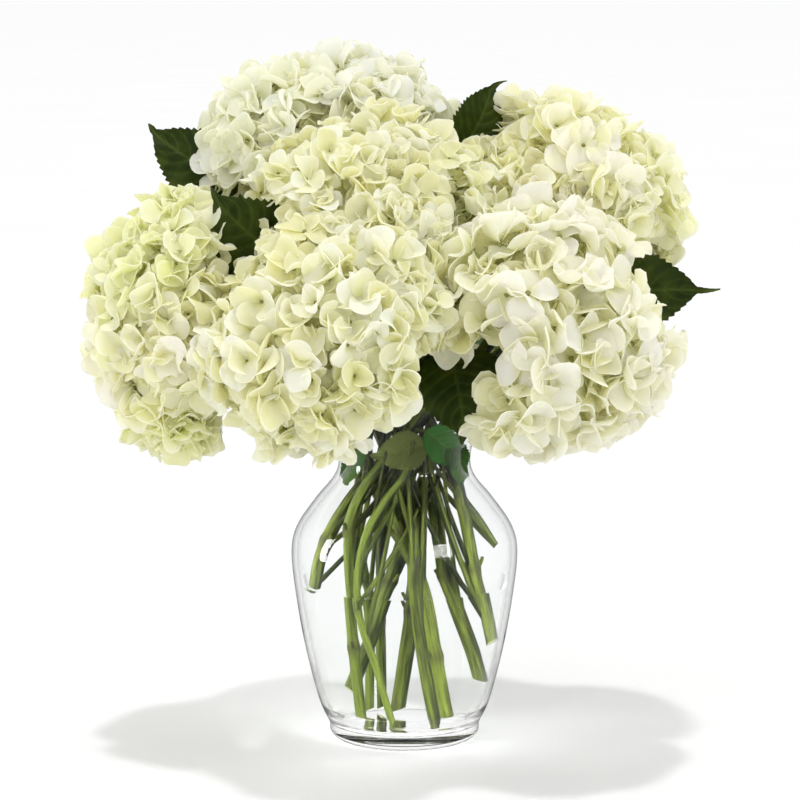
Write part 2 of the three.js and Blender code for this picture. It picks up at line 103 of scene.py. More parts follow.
def make_piece(name, parts, looks, node, sharp=50):
    """Puts the gathered parts into one mesh, in metres, and hides the solid it stands for."""
    points = np.concatenate(parts.points) * MM
    mesh = bpy.data.meshes.new(name)
    mesh.from_pydata(points, [], [face for block in parts.faces for face in block.tolist()])
    mesh.polygons.foreach_set("material_index", np.concatenate(parts.looks).astype(np.int32))
    mesh.polygons.foreach_set("use_smooth", np.ones(len(mesh.polygons), bool))
    corner = np.empty(len(mesh.loops), np.int32)
    mesh.loops.foreach_get("vertex_index", corner)
    mesh.uv_layers.new(name="Shape").data.foreach_set("uv", np.concatenate(parts.uv)[corner].ravel())
    for label, blocks in parts.values.items():
        mesh.attributes.new(label, "FLOAT", "POINT").data.foreach_set("value", np.concatenate(blocks))
    mesh.set_sharp_from_angle(angle=math.radians(sharp))
    for look in looks:
        mesh.materials.append(look)
    piece = into_scene(name, mesh)
    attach(piece, "root")
    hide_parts(node)
    print(f"{name}: {len(mesh.vertices)} points, {len(mesh.polygons)} faces")
    return piece


def unit(v):
    """Each vector divided by its own length."""
    v = np.asarray(v, float)
    return v / np.maximum(np.linalg.norm(v, axis=-1, keepdims=True), 1e-9)


# %% [markdown]
# ## Smooth lines through a few points
#
# A maker draws a vase or a stem with a few points and lets a springy curve pass through them. The
# Catmull-Rom curve does that: between two points it is the cubic that leaves each point in the direction
# from its neighbour before to its neighbour after. The curve is then walked along at an even pace, so that
# faces come out alike in size.


# %% Curves
def curve_through(points, count):
    """Points on the Catmull-Rom curve: its slope at a given point is half the step between the neighbours."""
    p = np.asarray(points, float)
    p = np.vstack([2 * p[0] - p[1], p, 2 * p[-1] - p[-2]])
    t = np.linspace(0, len(p) - 3, count)
    k = np.minimum(t.astype(int), len(p) - 4)
    f = (t - k)[:, None]
    a, b, c, d = p[k], p[k + 1], p[k + 2], p[k + 3]
    return 0.5 * (2 * b + (c - a) * f + (2 * a - 5 * b + 4 * c - d) * f**2 + (3 * b - a - 3 * c + d) * f**3)


def evenly(line, step):
    """The same line as points about one step apart: each coordinate read off against the length walked."""
    walked = np.concatenate([[0], np.cumsum(np.linalg.norm(np.diff(line, axis=0), axis=1))])
    stations = np.linspace(0, walked[-1], max(3, round(walked[-1] / step) + 1))
    return np.stack([np.interp(stations, walked, line[:, k]) for k in range(line.shape[1])], axis=1)


bow = curve_through([[0, 0], [1, 1], [2, 0]], 50)
print("a bow through three points:", len(evenly(bow, 0.5)), "points half a unit apart")


# %% [markdown]
# ## Finishes from nodes
#
# Every finish is mixed from nodes, with no picture behind it. A few short helpers keep the node work
# readable: one makes a node and plugs in its inputs, some do sums, one blends two colours, one picks out a
# range of a grey value, and the last ones make the surface itself and show it.

# %% Node helpers
class Finish:
    """A material with its node tree and short ways to add to it."""

    def __init__(self, name):
        self.material = bpy.data.materials.new(name)
        self.material.use_nodes = True
        self.tree = self.material.node_tree
        self.tree.nodes.clear()
        self.output = self.tree.nodes.new("ShaderNodeOutputMaterial")

    def node(self, kind, settings=None, **inputs):
        made = self.tree.nodes.new(kind)
        for key, value in (settings or {}).items():
            setattr(made, key, value)
        for key, value in inputs.items():
            self.plug(made.inputs[key.replace("_", " ")], value)
        return made

    def plug(self, socket, value):
        if isinstance(value, bpy.types.NodeSocket):
            self.tree.links.new(value, socket)
        else:
            socket.default_value = value

    def sum(self, operation, *values):
        made = self.tree.nodes.new("ShaderNodeMath")
        made.operation = operation
        for socket, value in zip(made.inputs, values):
            self.plug(socket, value)
        return made.outputs[0]

    def times(self, first, second):
        return self.sum("MULTIPLY", first, second)

    def plus(self, first, second):
        return self.sum("ADD", first, second)

    def blend(self, share, first, second):
        made = self.tree.nodes.new("ShaderNodeMix")
        made.data_type = "RGBA"
        for index, value in ((0, share), (6, first), (7, second)):
            self.plug(made.inputs[index], value)
        return made.outputs[2]

    def ramp(self, value, low, high, to_low=0.0, to_high=1.0):
        settings = {"interpolation_type": "SMOOTHSTEP"}
        made = self.node("ShaderNodeMapRange", settings, Value=value)
        for key, number in (("From Min", low), ("From Max", high), ("To Min", to_low), ("To Max", to_high)):
            made.inputs[key].default_value = number
        return made.outputs[0]

    def noise(self, size, detail=3.0, where=None):
        """Soft blotches of about that size in metres."""
        where = where or self.node("ShaderNodeTexCoord").outputs["Object"]
        return self.node("ShaderNodeTexNoise", Vector=where, Scale=1 / size, Detail=detail).outputs["Fac"]

    def attribute(self, label):
        return self.node("ShaderNodeAttribute", {"attribute_name": label}).outputs["Fac"]

    def shape_uv(self):
        flat = self.node("ShaderNodeUVMap", {"uv_map": "Shape"}).outputs[0]
        split = self.node("ShaderNodeSeparateXYZ", Vector=flat)
        return split.outputs[0], split.outputs[1]

    def bump(self, height, strength, distance):
        return self.node("ShaderNodeBump", Height=height, Strength=strength, Distance=distance).outputs[0]

    def surface(self, shown, bump, rough, shine=0.5):
        kind = "ShaderNodeBsdfPrincipled"
        return self.node(kind, Base_Color=shown, Normal=bump, Roughness=rough, Specular_IOR_Level=shine)

    def mix(self, share, first, second):
        mixed = self.node("ShaderNodeMixShader", Fac=share)
        self.plug(mixed.inputs[1], first.outputs[0])
        self.plug(mixed.inputs[2], second.outputs[0])
        return mixed

    def show(self, shader):
        self.tree.links.new(shader.outputs[0], self.output.inputs["Surface"])
        return self.material


def colour(red, green, blue):
    """A colour given as it looks on screen, 0 to 255, as the linear values that light is worked out in."""
    seen = np.array([red, green, blue]) / 255
    linear = np.where(seen <= 0.04045, seen / 12.92, ((seen + 0.055) / 1.055) ** 2.4)
    return (*linear.tolist(), 1.0)


print("middle grey as linear light:", np.round(colour(128, 128, 128)[:3], 3).tolist())

# %% [markdown]
# ## Clear glass and water
#
# Clear things show only by how they bend light, so the shape has to be right: a wall with two faces, and
# water that ends a hair's breadth before the wall. Were the two to overlap, light would be caught in the
# thin sheet they share and the foot would turn black. Water that bends light as strongly as real water would
# then make that gap shine like a mirror, so it bends light less here. Blown glass is never quite even, which
# very faint noise in its bump gives.
#
# A long way through glass looks darker. Fog in the volume could do that, but two finishes on one mesh would
# then count the fog twice, so the colour is darkened where the wall is seen side on. For the glass that is
# mostly a painted dark outline, far darker than the long way through it makes it. The attribute "upright"
# keeps that off the foot and the lip, whose own bends draw their lines. Rays that look for a lamp are let
# straight through, so the stems inside get their light without a long search.


# %% Glass and water finishes
EDGE_FROM = 0.66
PALER = 0.3
CLEAR = (1.0, 1.0, 1.0, 1.0)


def clear_finish(name, bends, tint, edge, shine, waviness, wave_size, shade=CLEAR):
    """A clear finish: bends is its index of refraction, tint what passes, shine how strongly it mirrors.

    edge is what passes where the face is seen side on, so long ways through the wall look darker; a dark
    edge paints a dark outline there. shade is what passes of the light that comes straight from a lamp or
    the sky.
    """
    look = Finish(name)
    waves = look.noise(wave_size, 1.0)
    upright = look.attribute("upright")
    grazing = look.ramp(look.node("ShaderNodeLayerWeight", Blend=0.5).outputs["Facing"], EDGE_FROM, 1.0)
    straight = look.blend(waves, tint, tuple(c + PALER * (1 - c) for c in tint))
    straight = look.blend(upright, CLEAR, straight)
    # painted dark outline: what passes goes towards edge where the wall is seen side on
    shown = look.blend(look.times(grazing, upright), straight, edge)
    body = look.surface(shown, look.bump(waves, 0.5, waviness * MM), 0.0)
    look.plug(body.inputs["Specular Tint"], (shine, shine, shine, 1.0))
    look.plug(body.inputs["Transmission Weight"], 1.0)
    look.plug(body.inputs["IOR"], bends)
    open_way = look.node("ShaderNodeBsdfTransparent", Color=shade)
    lamp_ray = look.node("ShaderNodeLightPath").outputs["Is Shadow Ray"]
    return look.show(look.mix(lamp_ray, body, open_way))


GLASS_TINT, GLASS_OUTLINE_SHADE = (0.97, 0.98, 0.975, 1.0), (0.1, 0.11, 0.1, 1.0)
FOOT_TINT, GLASS_SHADE = (0.99, 0.995, 0.985, 1.0), (0.84, 0.85, 0.84, 1.0)
WATER_TINT, WATER_EDGE = (0.985, 0.99, 0.985, 1.0), (0.94, 0.95, 0.94, 1.0)
glass_finish = clear_finish(
    "clear_glass", bends=1.45, tint=GLASS_TINT, edge=GLASS_OUTLINE_SHADE, shine=0.25, waviness=0.3, wave_size=0.03,
    shade=GLASS_SHADE,
)
foot_finish = clear_finish(
    "foot_glass", bends=1.45, tint=FOOT_TINT, edge=FOOT_TINT, shine=1.0, waviness=0.1, wave_size=0.02,
    shade=GLASS_SHADE,
)
water_finish = clear_finish(
    "still_water", bends=1.05, tint=WATER_TINT, edge=WATER_EDGE, shine=0.3, waviness=0.05, wave_size=0.02
)
surface_finish = clear_finish(
    "water_surface", bends=1.015, tint=WATER_TINT, edge=WATER_TINT, shine=0.3, waviness=0.05, wave_size=0.02
)
clear_looks = [glass_finish, foot_finish, water_finish, surface_finish]
print("clear finishes:", [look.name for look in clear_looks])

# %% [markdown]
# ## The vase
#
# A vase like this is blown and spun, so it is the same all round: one profile turned about the upright
# axis. The profile runs up the outside, over the rounded lip and down the inside, with the wall laid off
# square to the outside. The bottom is thick and has a rounding between floor and wall, which makes the
# bright and dark bands at the foot.

# %% Vase and water shapes
FOOT_RADIUS = 36.0
FOOT_ROUND = 6.5
FOOT_FLAT = 0.6
VASE_SIDE = [
    [42.4, 8.5], [48.6, 22.6], [55.8, 51], [60.8, 79], [63.6, 105], [60.8, 120],
    [50.4, 135.7], [40, 148.5], [36.9, 158], [39, 170], [45, 184], [50.5, 196],
]
GLASS = 3.0
VASE_FLOOR = 9.0
FLOOR_FLAT = 32.5
FLOOR_CORNER = 9.0
WATER_LEVEL = 90.0
FOOT_TOP, NECK_TOP = 17.0, 182.0
FOOT_FADE, NECK_FADE = 10.0, 14.0
AROUND = 144


def angles(count):
    """That many directions, evenly all round."""
    return np.linspace(0, 2 * np.pi, count, endpoint=False)


def rings(radius, height, count):
    """Rings of points about the z axis: x = radius cos a, y = radius sin a, z = height."""
    across = [np.outer(radius, np.cos(angles(count))), np.outer(radius, np.sin(angles(count)))]
    return np.stack([*across, np.outer(height, np.ones(count))], -1).reshape(-1, 3)


def end_fans(rows, around):
    """Fans that close the first and last ring; their middles are the two points that follow the rings."""
    first = np.arange(around)
    return [fan_faces(rows * around, first, True), fan_faces(rows * around + 1, first + (rows - 1) * around)]


def turned(profile):
    """A profile of (radius, height) turned about the z axis; fans close its ends, which lie on the axis."""
    rows = len(profile) - 2
    poles = [[0, 0, profile[0, 1]], [0, 0, profile[-1, 1]]]
    points = np.vstack([rings(*profile[1:-1].T, AROUND), poles])
    return points, [grid_faces(rows, AROUND, closed=True), *end_fans(rows, AROUND)]


def arc(middle, radius, start, stop, count):
    """Points on part of a circle, from one angle to another."""
    a = np.radians(np.linspace(start, stop, count))
    return np.stack([middle[0] + radius * np.cos(a), middle[1] + radius * np.sin(a)], 1)


vase_side = evenly(curve_through(VASE_SIDE, 400), 1.8)


def wall_inside(thickness):
    """The side moved inwards, square to itself."""
    run = unit(np.gradient(vase_side, axis=0))
    return vase_side + thickness * np.stack([-run[:, 1], run[:, 0]], 1)


def vase_profile():
    """Foot, side, rounded lip, the inside moved in by the wall, a rounded corner and the floor."""
    foot = arc((FOOT_RADIUS, FOOT_ROUND), FOOT_ROUND, -90, -20, 9)
    inner = wall_inside(GLASS)
    middle = (vase_side[-1] + inner[-1]) / 2
    lean = math.degrees(math.atan2(*(vase_side[-1] - middle)[::-1]))
    lip = arc(middle, GLASS / 2, lean, lean + 180, 9)
    corner = arc((FLOOR_FLAT, VASE_FLOOR + FLOOR_CORNER), FLOOR_CORNER, -14, -90, 9)
    above = inner[inner[:, 1] > VASE_FLOOR + FLOOR_CORNER][::-1]
    under = [[0, 0], [FOOT_RADIUS * FOOT_FLAT, 0]]
    return np.vstack([under, foot, vase_side, lip[1:-1], above, corner, [[0, VASE_FLOOR]]])


vase = Parts()
points, faces = turned(vase_profile())
sides, *poles = faces
height = points[:, 2]
low = height[sides].mean(axis=1) < FOOT_TOP
upright = np.clip((height - FOOT_TOP) / FOOT_FADE, 0, 1) * np.clip((NECK_TOP - height) / NECK_FADE, 0, 1)
vase.add(points, [sides[low], sides[~low], *poles], look=[1, 0, 1, 1], upright=upright)
make_piece("glass_vase", vase, [glass_finish, foot_finish], "vase")

# %% [markdown]
# ## The water
#
# Water fills the vase to just under the belly. It climbs the wall a little at its edge, and that small
# curve is what draws the water line.

# %% Water
CREEP, CREEP_WIDTH = 0.5, 1.8
CLEARANCE = 0.1


def water_profile():
    """The vase's inside, a hair narrower, closed at the top by level + creep exp(-distance / width)."""
    inner = wall_inside(GLASS + CLEARANCE)
    wall = inner[(inner[:, 1] > VASE_FLOOR + FLOOR_CORNER) & (inner[:, 1] < WATER_LEVEL + CREEP)]
    corner = arc((FLOOR_FLAT, VASE_FLOOR + FLOOR_CORNER), FLOOR_CORNER - CLEARANCE, -90, -14, 9)
    edge = wall[-1, 0]
    inwards = np.array([0.4, 1.0, 2.0, 3.5, 5.5, 9.0, 25.0])
    top = np.stack([edge - inwards, WATER_LEVEL + CREEP * np.exp(-inwards / CREEP_WIDTH)], 1)
    return np.vstack([[[0, VASE_FLOOR + CLEARANCE]], corner, wall, top, [[0, WATER_LEVEL]]])


water = Parts()
points, (sides, *poles) = turned(water_profile())
below = sides[:, 0] < (np.argmax(water_profile()[1:-1, 1]) * AROUND)
under_surface = points[:, 2] < WATER_LEVEL
water.add(points, [sides[below], sides[~below], *poles], look=[0, 1, 0, 1], upright=under_surface)
make_piece("vase_water", water, [water_finish, surface_finish], "water")

# %% [markdown]
# ## Where the stems run
#
# The solids of the stems are hexagonal tubes, so each ring of six corners gives one point of the stem's
# middle line. Corners that lie within a stem's width of each other are one ring. Reading the lines from
# the frame keeps the fine stems exactly on the plain ones, with nothing to fit by hand.

# %% Middle lines from the frame
STEM_RADIUS = {
    "stem_front_right": 3.9, "stem_back": 3.6, "stem_left": 4.2, "stem_top_left": 4.3, "stem_top_right": 4.0,
    "stem_front_left": 4.2, "stem_centre": 3.7, "leaf_stem_below": 3.2, "leaf_stem_neck": 2.1,
    "leaf_stem_left": 2.7, "leaf_stem_top": 2.9, "leaf_stem_right": 2.0,
}
RING_REACH, RING_UNEVEN = 2.35, 0.3
RING_PASSES = 12


def corners_of(node):
    """The different corners of a solid, in millimetres."""
    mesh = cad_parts[node].data
    points = np.empty(3 * len(mesh.vertices))
    mesh.vertices.foreach_get("co", points)
    return np.unique(np.round(points.reshape(-1, 3) / MM, 2), axis=0)


def middle_line(node, radius):
    """Centres of the six-cornered rings, in order from the cut end, each time the nearest one left."""
    p = corners_of(node)
    near = np.linalg.norm(p[:, None] - p[None], axis=2) < RING_REACH * radius
    label = np.arange(len(p))
    for _ in range(RING_PASSES):
        label = np.where(near, label[None], len(p)).min(axis=1)
    groups = [p[label == k] for k in np.unique(label)]
    hexagons = [group for group in groups if len(group) == 6]
    spread = [np.linalg.norm(ring - ring.mean(axis=0), axis=1) / radius for ring in hexagons]
    round_enough = [abs(reach - 1).max() < RING_UNEVEN for reach in spread]
    centres = [ring.mean(axis=0) for ring, good in zip(hexagons, round_enough) if good]
    line = [min(centres, key=lambda c: c[2])]
    while len(line) < len(centres):
        left = [c for c in centres if not any(c is done for done in line)]
        line.append(min(left, key=lambda c: np.linalg.norm(c - line[-1])))
    return np.array(line)


stem_lines = {name: middle_line(name, radius) for name, radius in STEM_RADIUS.items()}
for name, line in stem_lines.items():
    print(name, len(line), "rings, from", np.round(line[0]).tolist(), "to", np.round(line[-1]).tolist())

# %% [markdown]
# ## Stem and leaf finishes
#
# A hydrangea stem is fresh green with paler and darker streaks along it and small brown specks. The streaks
# follow the stem, so their noise is read at a place made of the length along the stem and the way round
# it, squeezed along the stem. The side that faces the sun is painted paler, as painted light. The cut end
# is pale, with a ring of bark.

# %% Green finishes
def stem_finish(name, pale, dark):
    """Paler on the side towards the sun, which is painted light; streaks along the stem, specks, and darker
    skin at the swollen nodes; and painted shade at the back and in the neck from each stem's number.
    """
    look = Finish(name)
    x, y, along, sunny = (look.attribute(label) for label in ("round_x", "round_y", "along", "sunny"))
    place = look.node("ShaderNodeCombineXYZ", X=x, Y=y, Z=look.times(along, 0.02)).outputs[0]
    streaks = look.node("ShaderNodeTexNoise", Vector=place, Scale=2.6, Detail=4.0).outputs["Fac"]
    fine = look.node("ShaderNodeCombineXYZ", X=x, Y=y, Z=look.times(along, 0.35)).outputs[0]
    specks = look.node("ShaderNodeTexNoise", Vector=fine, Scale=5.0, Detail=1.0).outputs["Fac"]
    # painted light: the side of the stem that faces the sun is paler
    toned = look.plus(look.times(streaks, 1.5), look.times(sunny, 0.35))
    # painted shade: darker for stems at the back and up in the neck, on top of each stem's own green
    toned = look.plus(toned, look.attribute("tone"))
    skin = look.blend(look.ramp(toned, 0.45, 1.3), dark, pale)
    skin = look.blend(look.ramp(specks, 0.62, 0.74), skin, colour(74, 62, 34))
    skin = look.blend(look.times(look.attribute("node"), 0.6), skin, colour(58, 56, 34))
    height = look.plus(streaks, look.times(specks, 0.5))
    rough = look.ramp(specks, 0.3, 0.7, 0.36, 0.55)
    return look.show(look.surface(skin, look.bump(height, 0.8, 0.6 * MM), rough, shine=0.25))


def cut_finish():
    """Pale pith in the middle, watery wood round it."""
    look = Finish("cut_stem")
    across, _ = look.shape_uv()
    wood = look.blend(look.ramp(across, 0.35, 0.5), colour(226, 226, 190), colour(150, 165, 92))
    grain = look.noise(0.0008, 2.0)
    shown = look.blend(look.times(grain, 0.5), wood, colour(120, 125, 70))
    return look.show(look.surface(shown, look.bump(grain, 0.4, 0.2 * MM), 0.6))


def leaf_finish():
    """Deep green between paler veins, a dull grey-green underside, and light that comes through.

    The attributes "fresh" and "olive" say how far a leaf is a bright young one or a faded one.
    """
    look = Finish("leaf_blade")
    vein, under = look.attribute("vein"), look.attribute("under")
    cloud = look.noise(0.012)
    grain = look.noise(0.0012, 2.0)
    face = look.blend(look.ramp(cloud, 0.3, 0.7), colour(34, 40, 6), colour(60, 68, 16))
    face = look.blend(look.times(look.attribute("fresh"), 0.75), face, colour(66, 146, 48))
    face = look.blend(look.attribute("olive"), face, colour(142, 152, 84))
    face = look.blend(look.times(vein, 0.34), face, colour(100, 118, 48))
    back = look.blend(look.times(vein, 0.7), colour(86, 106, 66), colour(142, 158, 108))
    shown = look.blend(under, face, back)
    height = look.plus(grain, look.times(vein, -1.2))
    rough = look.ramp(grain, 0.3, 0.7, 0.42, 0.6)
    body = look.surface(shown, look.bump(height, 0.7, 0.35 * MM), rough, shine=0.14)
    through = look.blend(vein, colour(98, 122, 26), colour(124, 146, 54))
    glow = look.node("ShaderNodeBsdfTranslucent", Color=through)
    return look.show(look.mix(0.14, body, glow))


stem_look = stem_finish("flower_stem", colour(124, 138, 52), colour(28, 38, 9))
shoot_look = stem_finish("leafy_stem", colour(112, 128, 46), colour(25, 34, 7))
cut_look = cut_finish()
leaf_look = leaf_finish()
green_looks = {True: [shoot_look, cut_look, leaf_look], False: [stem_look, cut_look, leaf_look]}
print("green finishes:", stem_look.name, shoot_look.name, cut_look.name, leaf_look.name)

# %% [markdown]
# ## Stems
#
# A stem is a ring carried along its middle line. It is a little uneven, swells where leaves once grew,
# and was cut at a slant with a knife. The two crosswise directions that the ring lies in must not spin
# along the way, so both come from one fixed direction: the one that the stem runs along least. A solid
# bent by a curve modifier would do too, but the ring also carries the numbers that the skin's streaks read.

# %% Tubes along a line
ROUND = 18
SLANT = 0.55
# painted light: the side of a stem that faces this way is painted paler
PAINTED_SUN_FROM = unit([-0.75, -0.45, 0.5])


def crosswise(line):
    """Run, side and other side at each point, all square to each other."""
    run = unit(np.gradient(line, axis=0))
    least = np.linalg.eigh(run.T @ run)[1][:, 0]
    side = unit(np.cross(run, least))
    return run, side, np.cross(run, side)


def tube(line, radius, sides=ROUND, slant=0.0):
    """Ring points: middle line + radius (cos a side + sin a other side), the first rings sheared."""
    run, side, other = crosswise(line)
    a = angles(sides)
    reach = np.broadcast_to(radius, (len(line), sides))[..., None]
    ring = np.cos(a)[None, :, None] * side[:, None] + np.sin(a)[None, :, None] * other[:, None]
    points = line[:, None] + reach * ring
    fade = np.clip(1 - np.arange(len(line)) / 3, 0, 1)[:, None, None]
    points += fade * slant * reach * np.cos(a)[None, :, None] * run[:, None]
    ends = np.stack([line[0] + 0.1 * run[0], line[-1]])
    body = grid_faces(len(line), sides, closed=True)
    return np.vstack([points.reshape(-1, 3), ends]), body, end_fans(len(line), sides)


print("a stem's ring has", ROUND, "corners and its cut leans by", SLANT, "radii")

# %% [markdown]
# ## Stubs and side shoots
#
# A florist strips the lower leaves, in opposite pairs, which leaves short stubs at the swollen nodes. Slim
# side shoots stay, and in the neck they make the dark tangle that is seen through the glass. Both are thin
# tubes that start inside a stem, so nothing has to be joined.

# %% Stubs and side shoots
NODE_HEIGHTS = {
    "stem_left": [93], "stem_centre": [98], "stem_top_left": [70], "stem_front_left": [48, 118],
    "stem_back": [104], "stem_top_right": [88], "stem_front_right": [112], "leaf_stem_below": [56, 122],
    "leaf_stem_left": [84], "leaf_stem_top": [62, 128], "leaf_stem_neck": [80], "leaf_stem_right": [],
}
SIDE_SHOOTS = {
    "leaf_stem_below": 4, "leaf_stem_neck": 5, "leaf_stem_left": 5, "leaf_stem_top": 4, "leaf_stem_right": 3,
    "stem_front_left": 4, "stem_centre": 4, "stem_front_right": 3, "stem_left": 3, "stem_top_right": 3,
    "stem_back": 3,
}
STEM_STEP = 2.5
TWIG_SIDES = 9
STUB_REACH, STUB_THICK, TWIG_THIN = (4.5, 8), 1.3, 0.9
SHOOT_STARTS, SHOOT_TOPS = (58, 122), (150, 189)
SHOOT_AWAY, SHOOT_THICK, SHOOT_TONE = (12, 29), (1.3, 2.1), (-0.5, 0.1)


def add_twig(parts, line, thick, thin, tone=0.0):
    """A thin plain shoot along a line, with the same skin as the stem."""
    run = evenly(line, STEM_STEP)
    points, sides, caps = tube(run, np.linspace(thick, thin, len(run))[:, None], sides=TWIG_SIDES)
    a = np.tile(angles(TWIG_SIDES), len(run))
    # painted light: how far each point of the shoot faces the sun
    sunny = (unit(points[:-2].reshape(len(run), TWIG_SIDES, 3) - run[:, None]) @ PAINTED_SUN_FROM).reshape(-1)
    along = np.repeat(np.arange(len(run)) * STEM_STEP, TWIG_SIDES)
    values = {"round_x": np.cos(a), "round_y": np.sin(a), "along": along, "sunny": sunny}
    with_ends = {key: np.append(value, [0, 0]) for key, value in values.items()}
    parts.add(points, [sides, *caps], tone=tone, **with_ends)


def add_side_shoots(parts, name, fine, rng):
    """Stubs of picked leaves in pairs at the nodes, and slim side shoots that end inside the vase's neck."""
    run, side, other = crosswise(fine)
    for height in NODE_HEIGHTS[name]:
        k = abs(fine[:, 2] - height).argmin()
        turn = rng.uniform(0, np.pi)
        out = np.cos(turn) * side[k] + np.sin(turn) * other[k]
        for way in (out, -out):
            reach = rng.uniform(*STUB_REACH) * (0.55 * way + 0.8 * run[k])
            start = fine[k] + 0.6 * STEM_RADIUS[name] * way
            stub = np.array([start, start + 0.5 * reach + 0.6 * way, start + reach])
            add_twig(parts, stub, STUB_THICK, TWIG_THIN)
    for _ in range(SIDE_SHOOTS.get(name, 0)):
        start = fine[abs(fine[:, 2] - rng.uniform(*SHOOT_STARTS)).argmin()]
        turn, top = rng.uniform(-2.9, -0.2), rng.uniform(*SHOOT_TOPS)
        end = np.array([*(rng.uniform(*SHOOT_AWAY) * np.array([np.cos(turn), np.sin(turn)])), top])
        bend = start * [0.45, 0.45, 0.5] + end * [0.55, 0.55, 0.5]
        thick, tone = rng.uniform(*SHOOT_THICK), rng.uniform(*SHOOT_TONE)
        add_twig(parts, curve_through([start, bend, end], 40), thick, TWIG_THIN, tone)


print("nodes:", sum(map(len, NODE_HEIGHTS.values())), "and side shoots:", sum(SIDE_SHOOTS.values()))

# %% [markdown]
# ## One stem
#
# No two stems are quite the same green. The number of each stem also paints shade: stems at the back are
# darker than those in front. All of them are darker in the neck, where little light comes, which is painted
# shade as well. One number a stem and a slow change with height say so, and the skin's finish adds them to
# its streaks.

# %% One stem
# each stem's own green, and painted shade: the stems at the back get lower numbers than those in front
STEM_GREEN_AND_SHADE = {
    "stem_front_left": 0.16, "leaf_stem_below": 0.2, "leaf_stem_neck": 0.25, "leaf_stem_left": 0.1,
    "stem_centre": 0.05, "stem_back": -0.12, "stem_top_right": -0.12, "stem_top_left": -0.08,
    "leaf_stem_top": -0.05,
}
SHADED_FROM, SHADED_OVER, SHADED_BY = 112, 30, 0.22
SWELL, SWELL_LENGTH = 0.2, 3.2


def add_stem(parts, name, line, rng):
    """One stem with its uneven skin, its swollen nodes and its cut end."""
    fine = evenly(curve_through(line, 30 * len(line)), STEM_STEP)
    walked = STEM_STEP * np.arange(len(fine))[:, None]
    a = angles(ROUND)[None]
    turn, beat = rng.uniform(0, 6.28, 2)
    uneven = 0.03 * np.sin(walked / 11 + turn) + 0.025 * np.cos(5 * a + beat + walked / 60)
    marks = np.array([[abs(fine[:, 2] - height).argmin()] for height in NODE_HEIGHTS[name]]).reshape(-1)
    swell = sum((np.exp(-(((walked - walked[k]) / SWELL_LENGTH) ** 2)) for k in marks), np.zeros_like(walked))
    radius = STEM_RADIUS[name] * (0.95 + uneven + SWELL * swell)
    points, sides, caps = tube(fine, radius, slant=SLANT)
    # painted light: how far each point of the stem faces the sun
    skin = unit(points[:-2].reshape(len(fine), ROUND, 3) - fine[:, None]) @ PAINTED_SUN_FROM
    around = {"sunny": skin, "round_x": np.cos(a), "round_y": np.sin(a), "along": walked, "node": swell}
    spread = {key: np.append(np.broadcast_to(value, radius.shape), [0, 0]) for key, value in around.items()}
    # painted shade: each stem's number, darker at the back, and darker still up in the neck
    tone = STEM_GREEN_AND_SHADE.get(name, 0.0) - SHADED_BY * np.clip((points[:, 2] - SHADED_FROM) / SHADED_OVER, 0, 1)
    parts.add(points, [sides, caps[1]], tone=tone, **spread)
    rim = np.vstack([points[:ROUND], points[-2:-1]])
    across = np.append(np.full(ROUND, 0.5), 0.0)
    parts.add(rim, [fan_faces(ROUND, np.arange(ROUND), True)], look=1, uv=np.stack([across, across], 1))
    add_side_shoots(parts, name, fine, rng)


print("darker by", SHADED_BY, "above", SHADED_FROM + SHADED_OVER, "mm")

# %% [markdown]
# ## Leaves
#
# A hydrangea leaf is broad, toothed like a saw with the teeth pointing forward, and drawn out to a drip
# tip. Each leaf is given by the point where its stalk leaves the stem, the two ends of its midrib, what its
# face looks at and its width. "open" says which stretch of it the florets leave bare, and how wide on
# either side. Small leaves in the neck lie against the inside of the glass.

# %% Where the leaves are
LEAVES = {
    "leaf_stem_left": [
        dict(joint=(-84, 35, 276), base=(-95, 40, 306), tip=(-148, 45, 342), looks=(-0.3, -0.9, 0.3),
             width=44, open=(0.45, 1.1, 0.2, 0.2)),
    ],
    "stem_left": [
        dict(joint=(-62, 2, 222), base=(-64, -30, 272), tip=(-106, -45, 309), looks=(-0.4, -0.9, 0.2),
             width=58, open=(0.3, 1.1, 0.1, 0.1)),
    ],
    "leaf_stem_top": [
        dict(joint=(30, 24, 322), base=(31, 26, 328), tip=(53, 36, 373), looks=(0.5, -0.85, 0.1),
             width=36, drip=0.14, hook=0.2, open=(0.05, 1.1, 0.3, 0.3)),
    ],
    "leaf_stem_right": [
        dict(joint=(104, 10, 246), base=(112, 9, 251), tip=(178, 10, 253), looks=(0.1, -0.95, 0.3),
             width=46, drip=0.2, hook=-0.03, open=(-0.05, 1.1, 1.2, 1.2)),
    ],
    "leaf_stem_below": [
        dict(joint=(24, -27, 206), base=(24, -43, 226), tip=(34, -58, 177), looks=(0.1, -0.9, 0.1),
             width=54, open=(0.02, 1.3, 1.1, 0.4)),
        dict(joint=(2, -22, 180), base=(11, -27, 179), tip=(31, -10, 157), looks=(0.55, -0.83, 0),
             width=22, fresh=1.0),
    ],
    "leaf_stem_neck": [
        dict(joint=(4, -29, 174), base=(12, -28, 171), tip=(-19, -24, 163), looks=(0, -0.95, 0.1),
             width=23, olive=0.55),
    ],
    "stem_front_left": [
        dict(joint=(-20, -17, 172), base=(-23, -18, 170), tip=(-34, -8, 143), looks=(-0.5, -0.85, 0),
             width=16, fresh=0.45),
    ],
    "stem_front_right": [
        dict(joint=(22, -16, 176), base=(24, -18, 173), tip=(33, -9, 142), looks=(0.5, -0.85, 0),
             width=16, fresh=0.45),
    ],
    "stem_back": [
        dict(joint=(2, 41, 218), base=(-10, 47, 216), tip=(-74, 84, 200), looks=(-0.3, 0.3, 0.9), width=46),
        dict(joint=(2, 41, 218), base=(14, 46, 216), tip=(78, 80, 204), looks=(0.3, 0.3, 0.9), width=46),
    ],
}
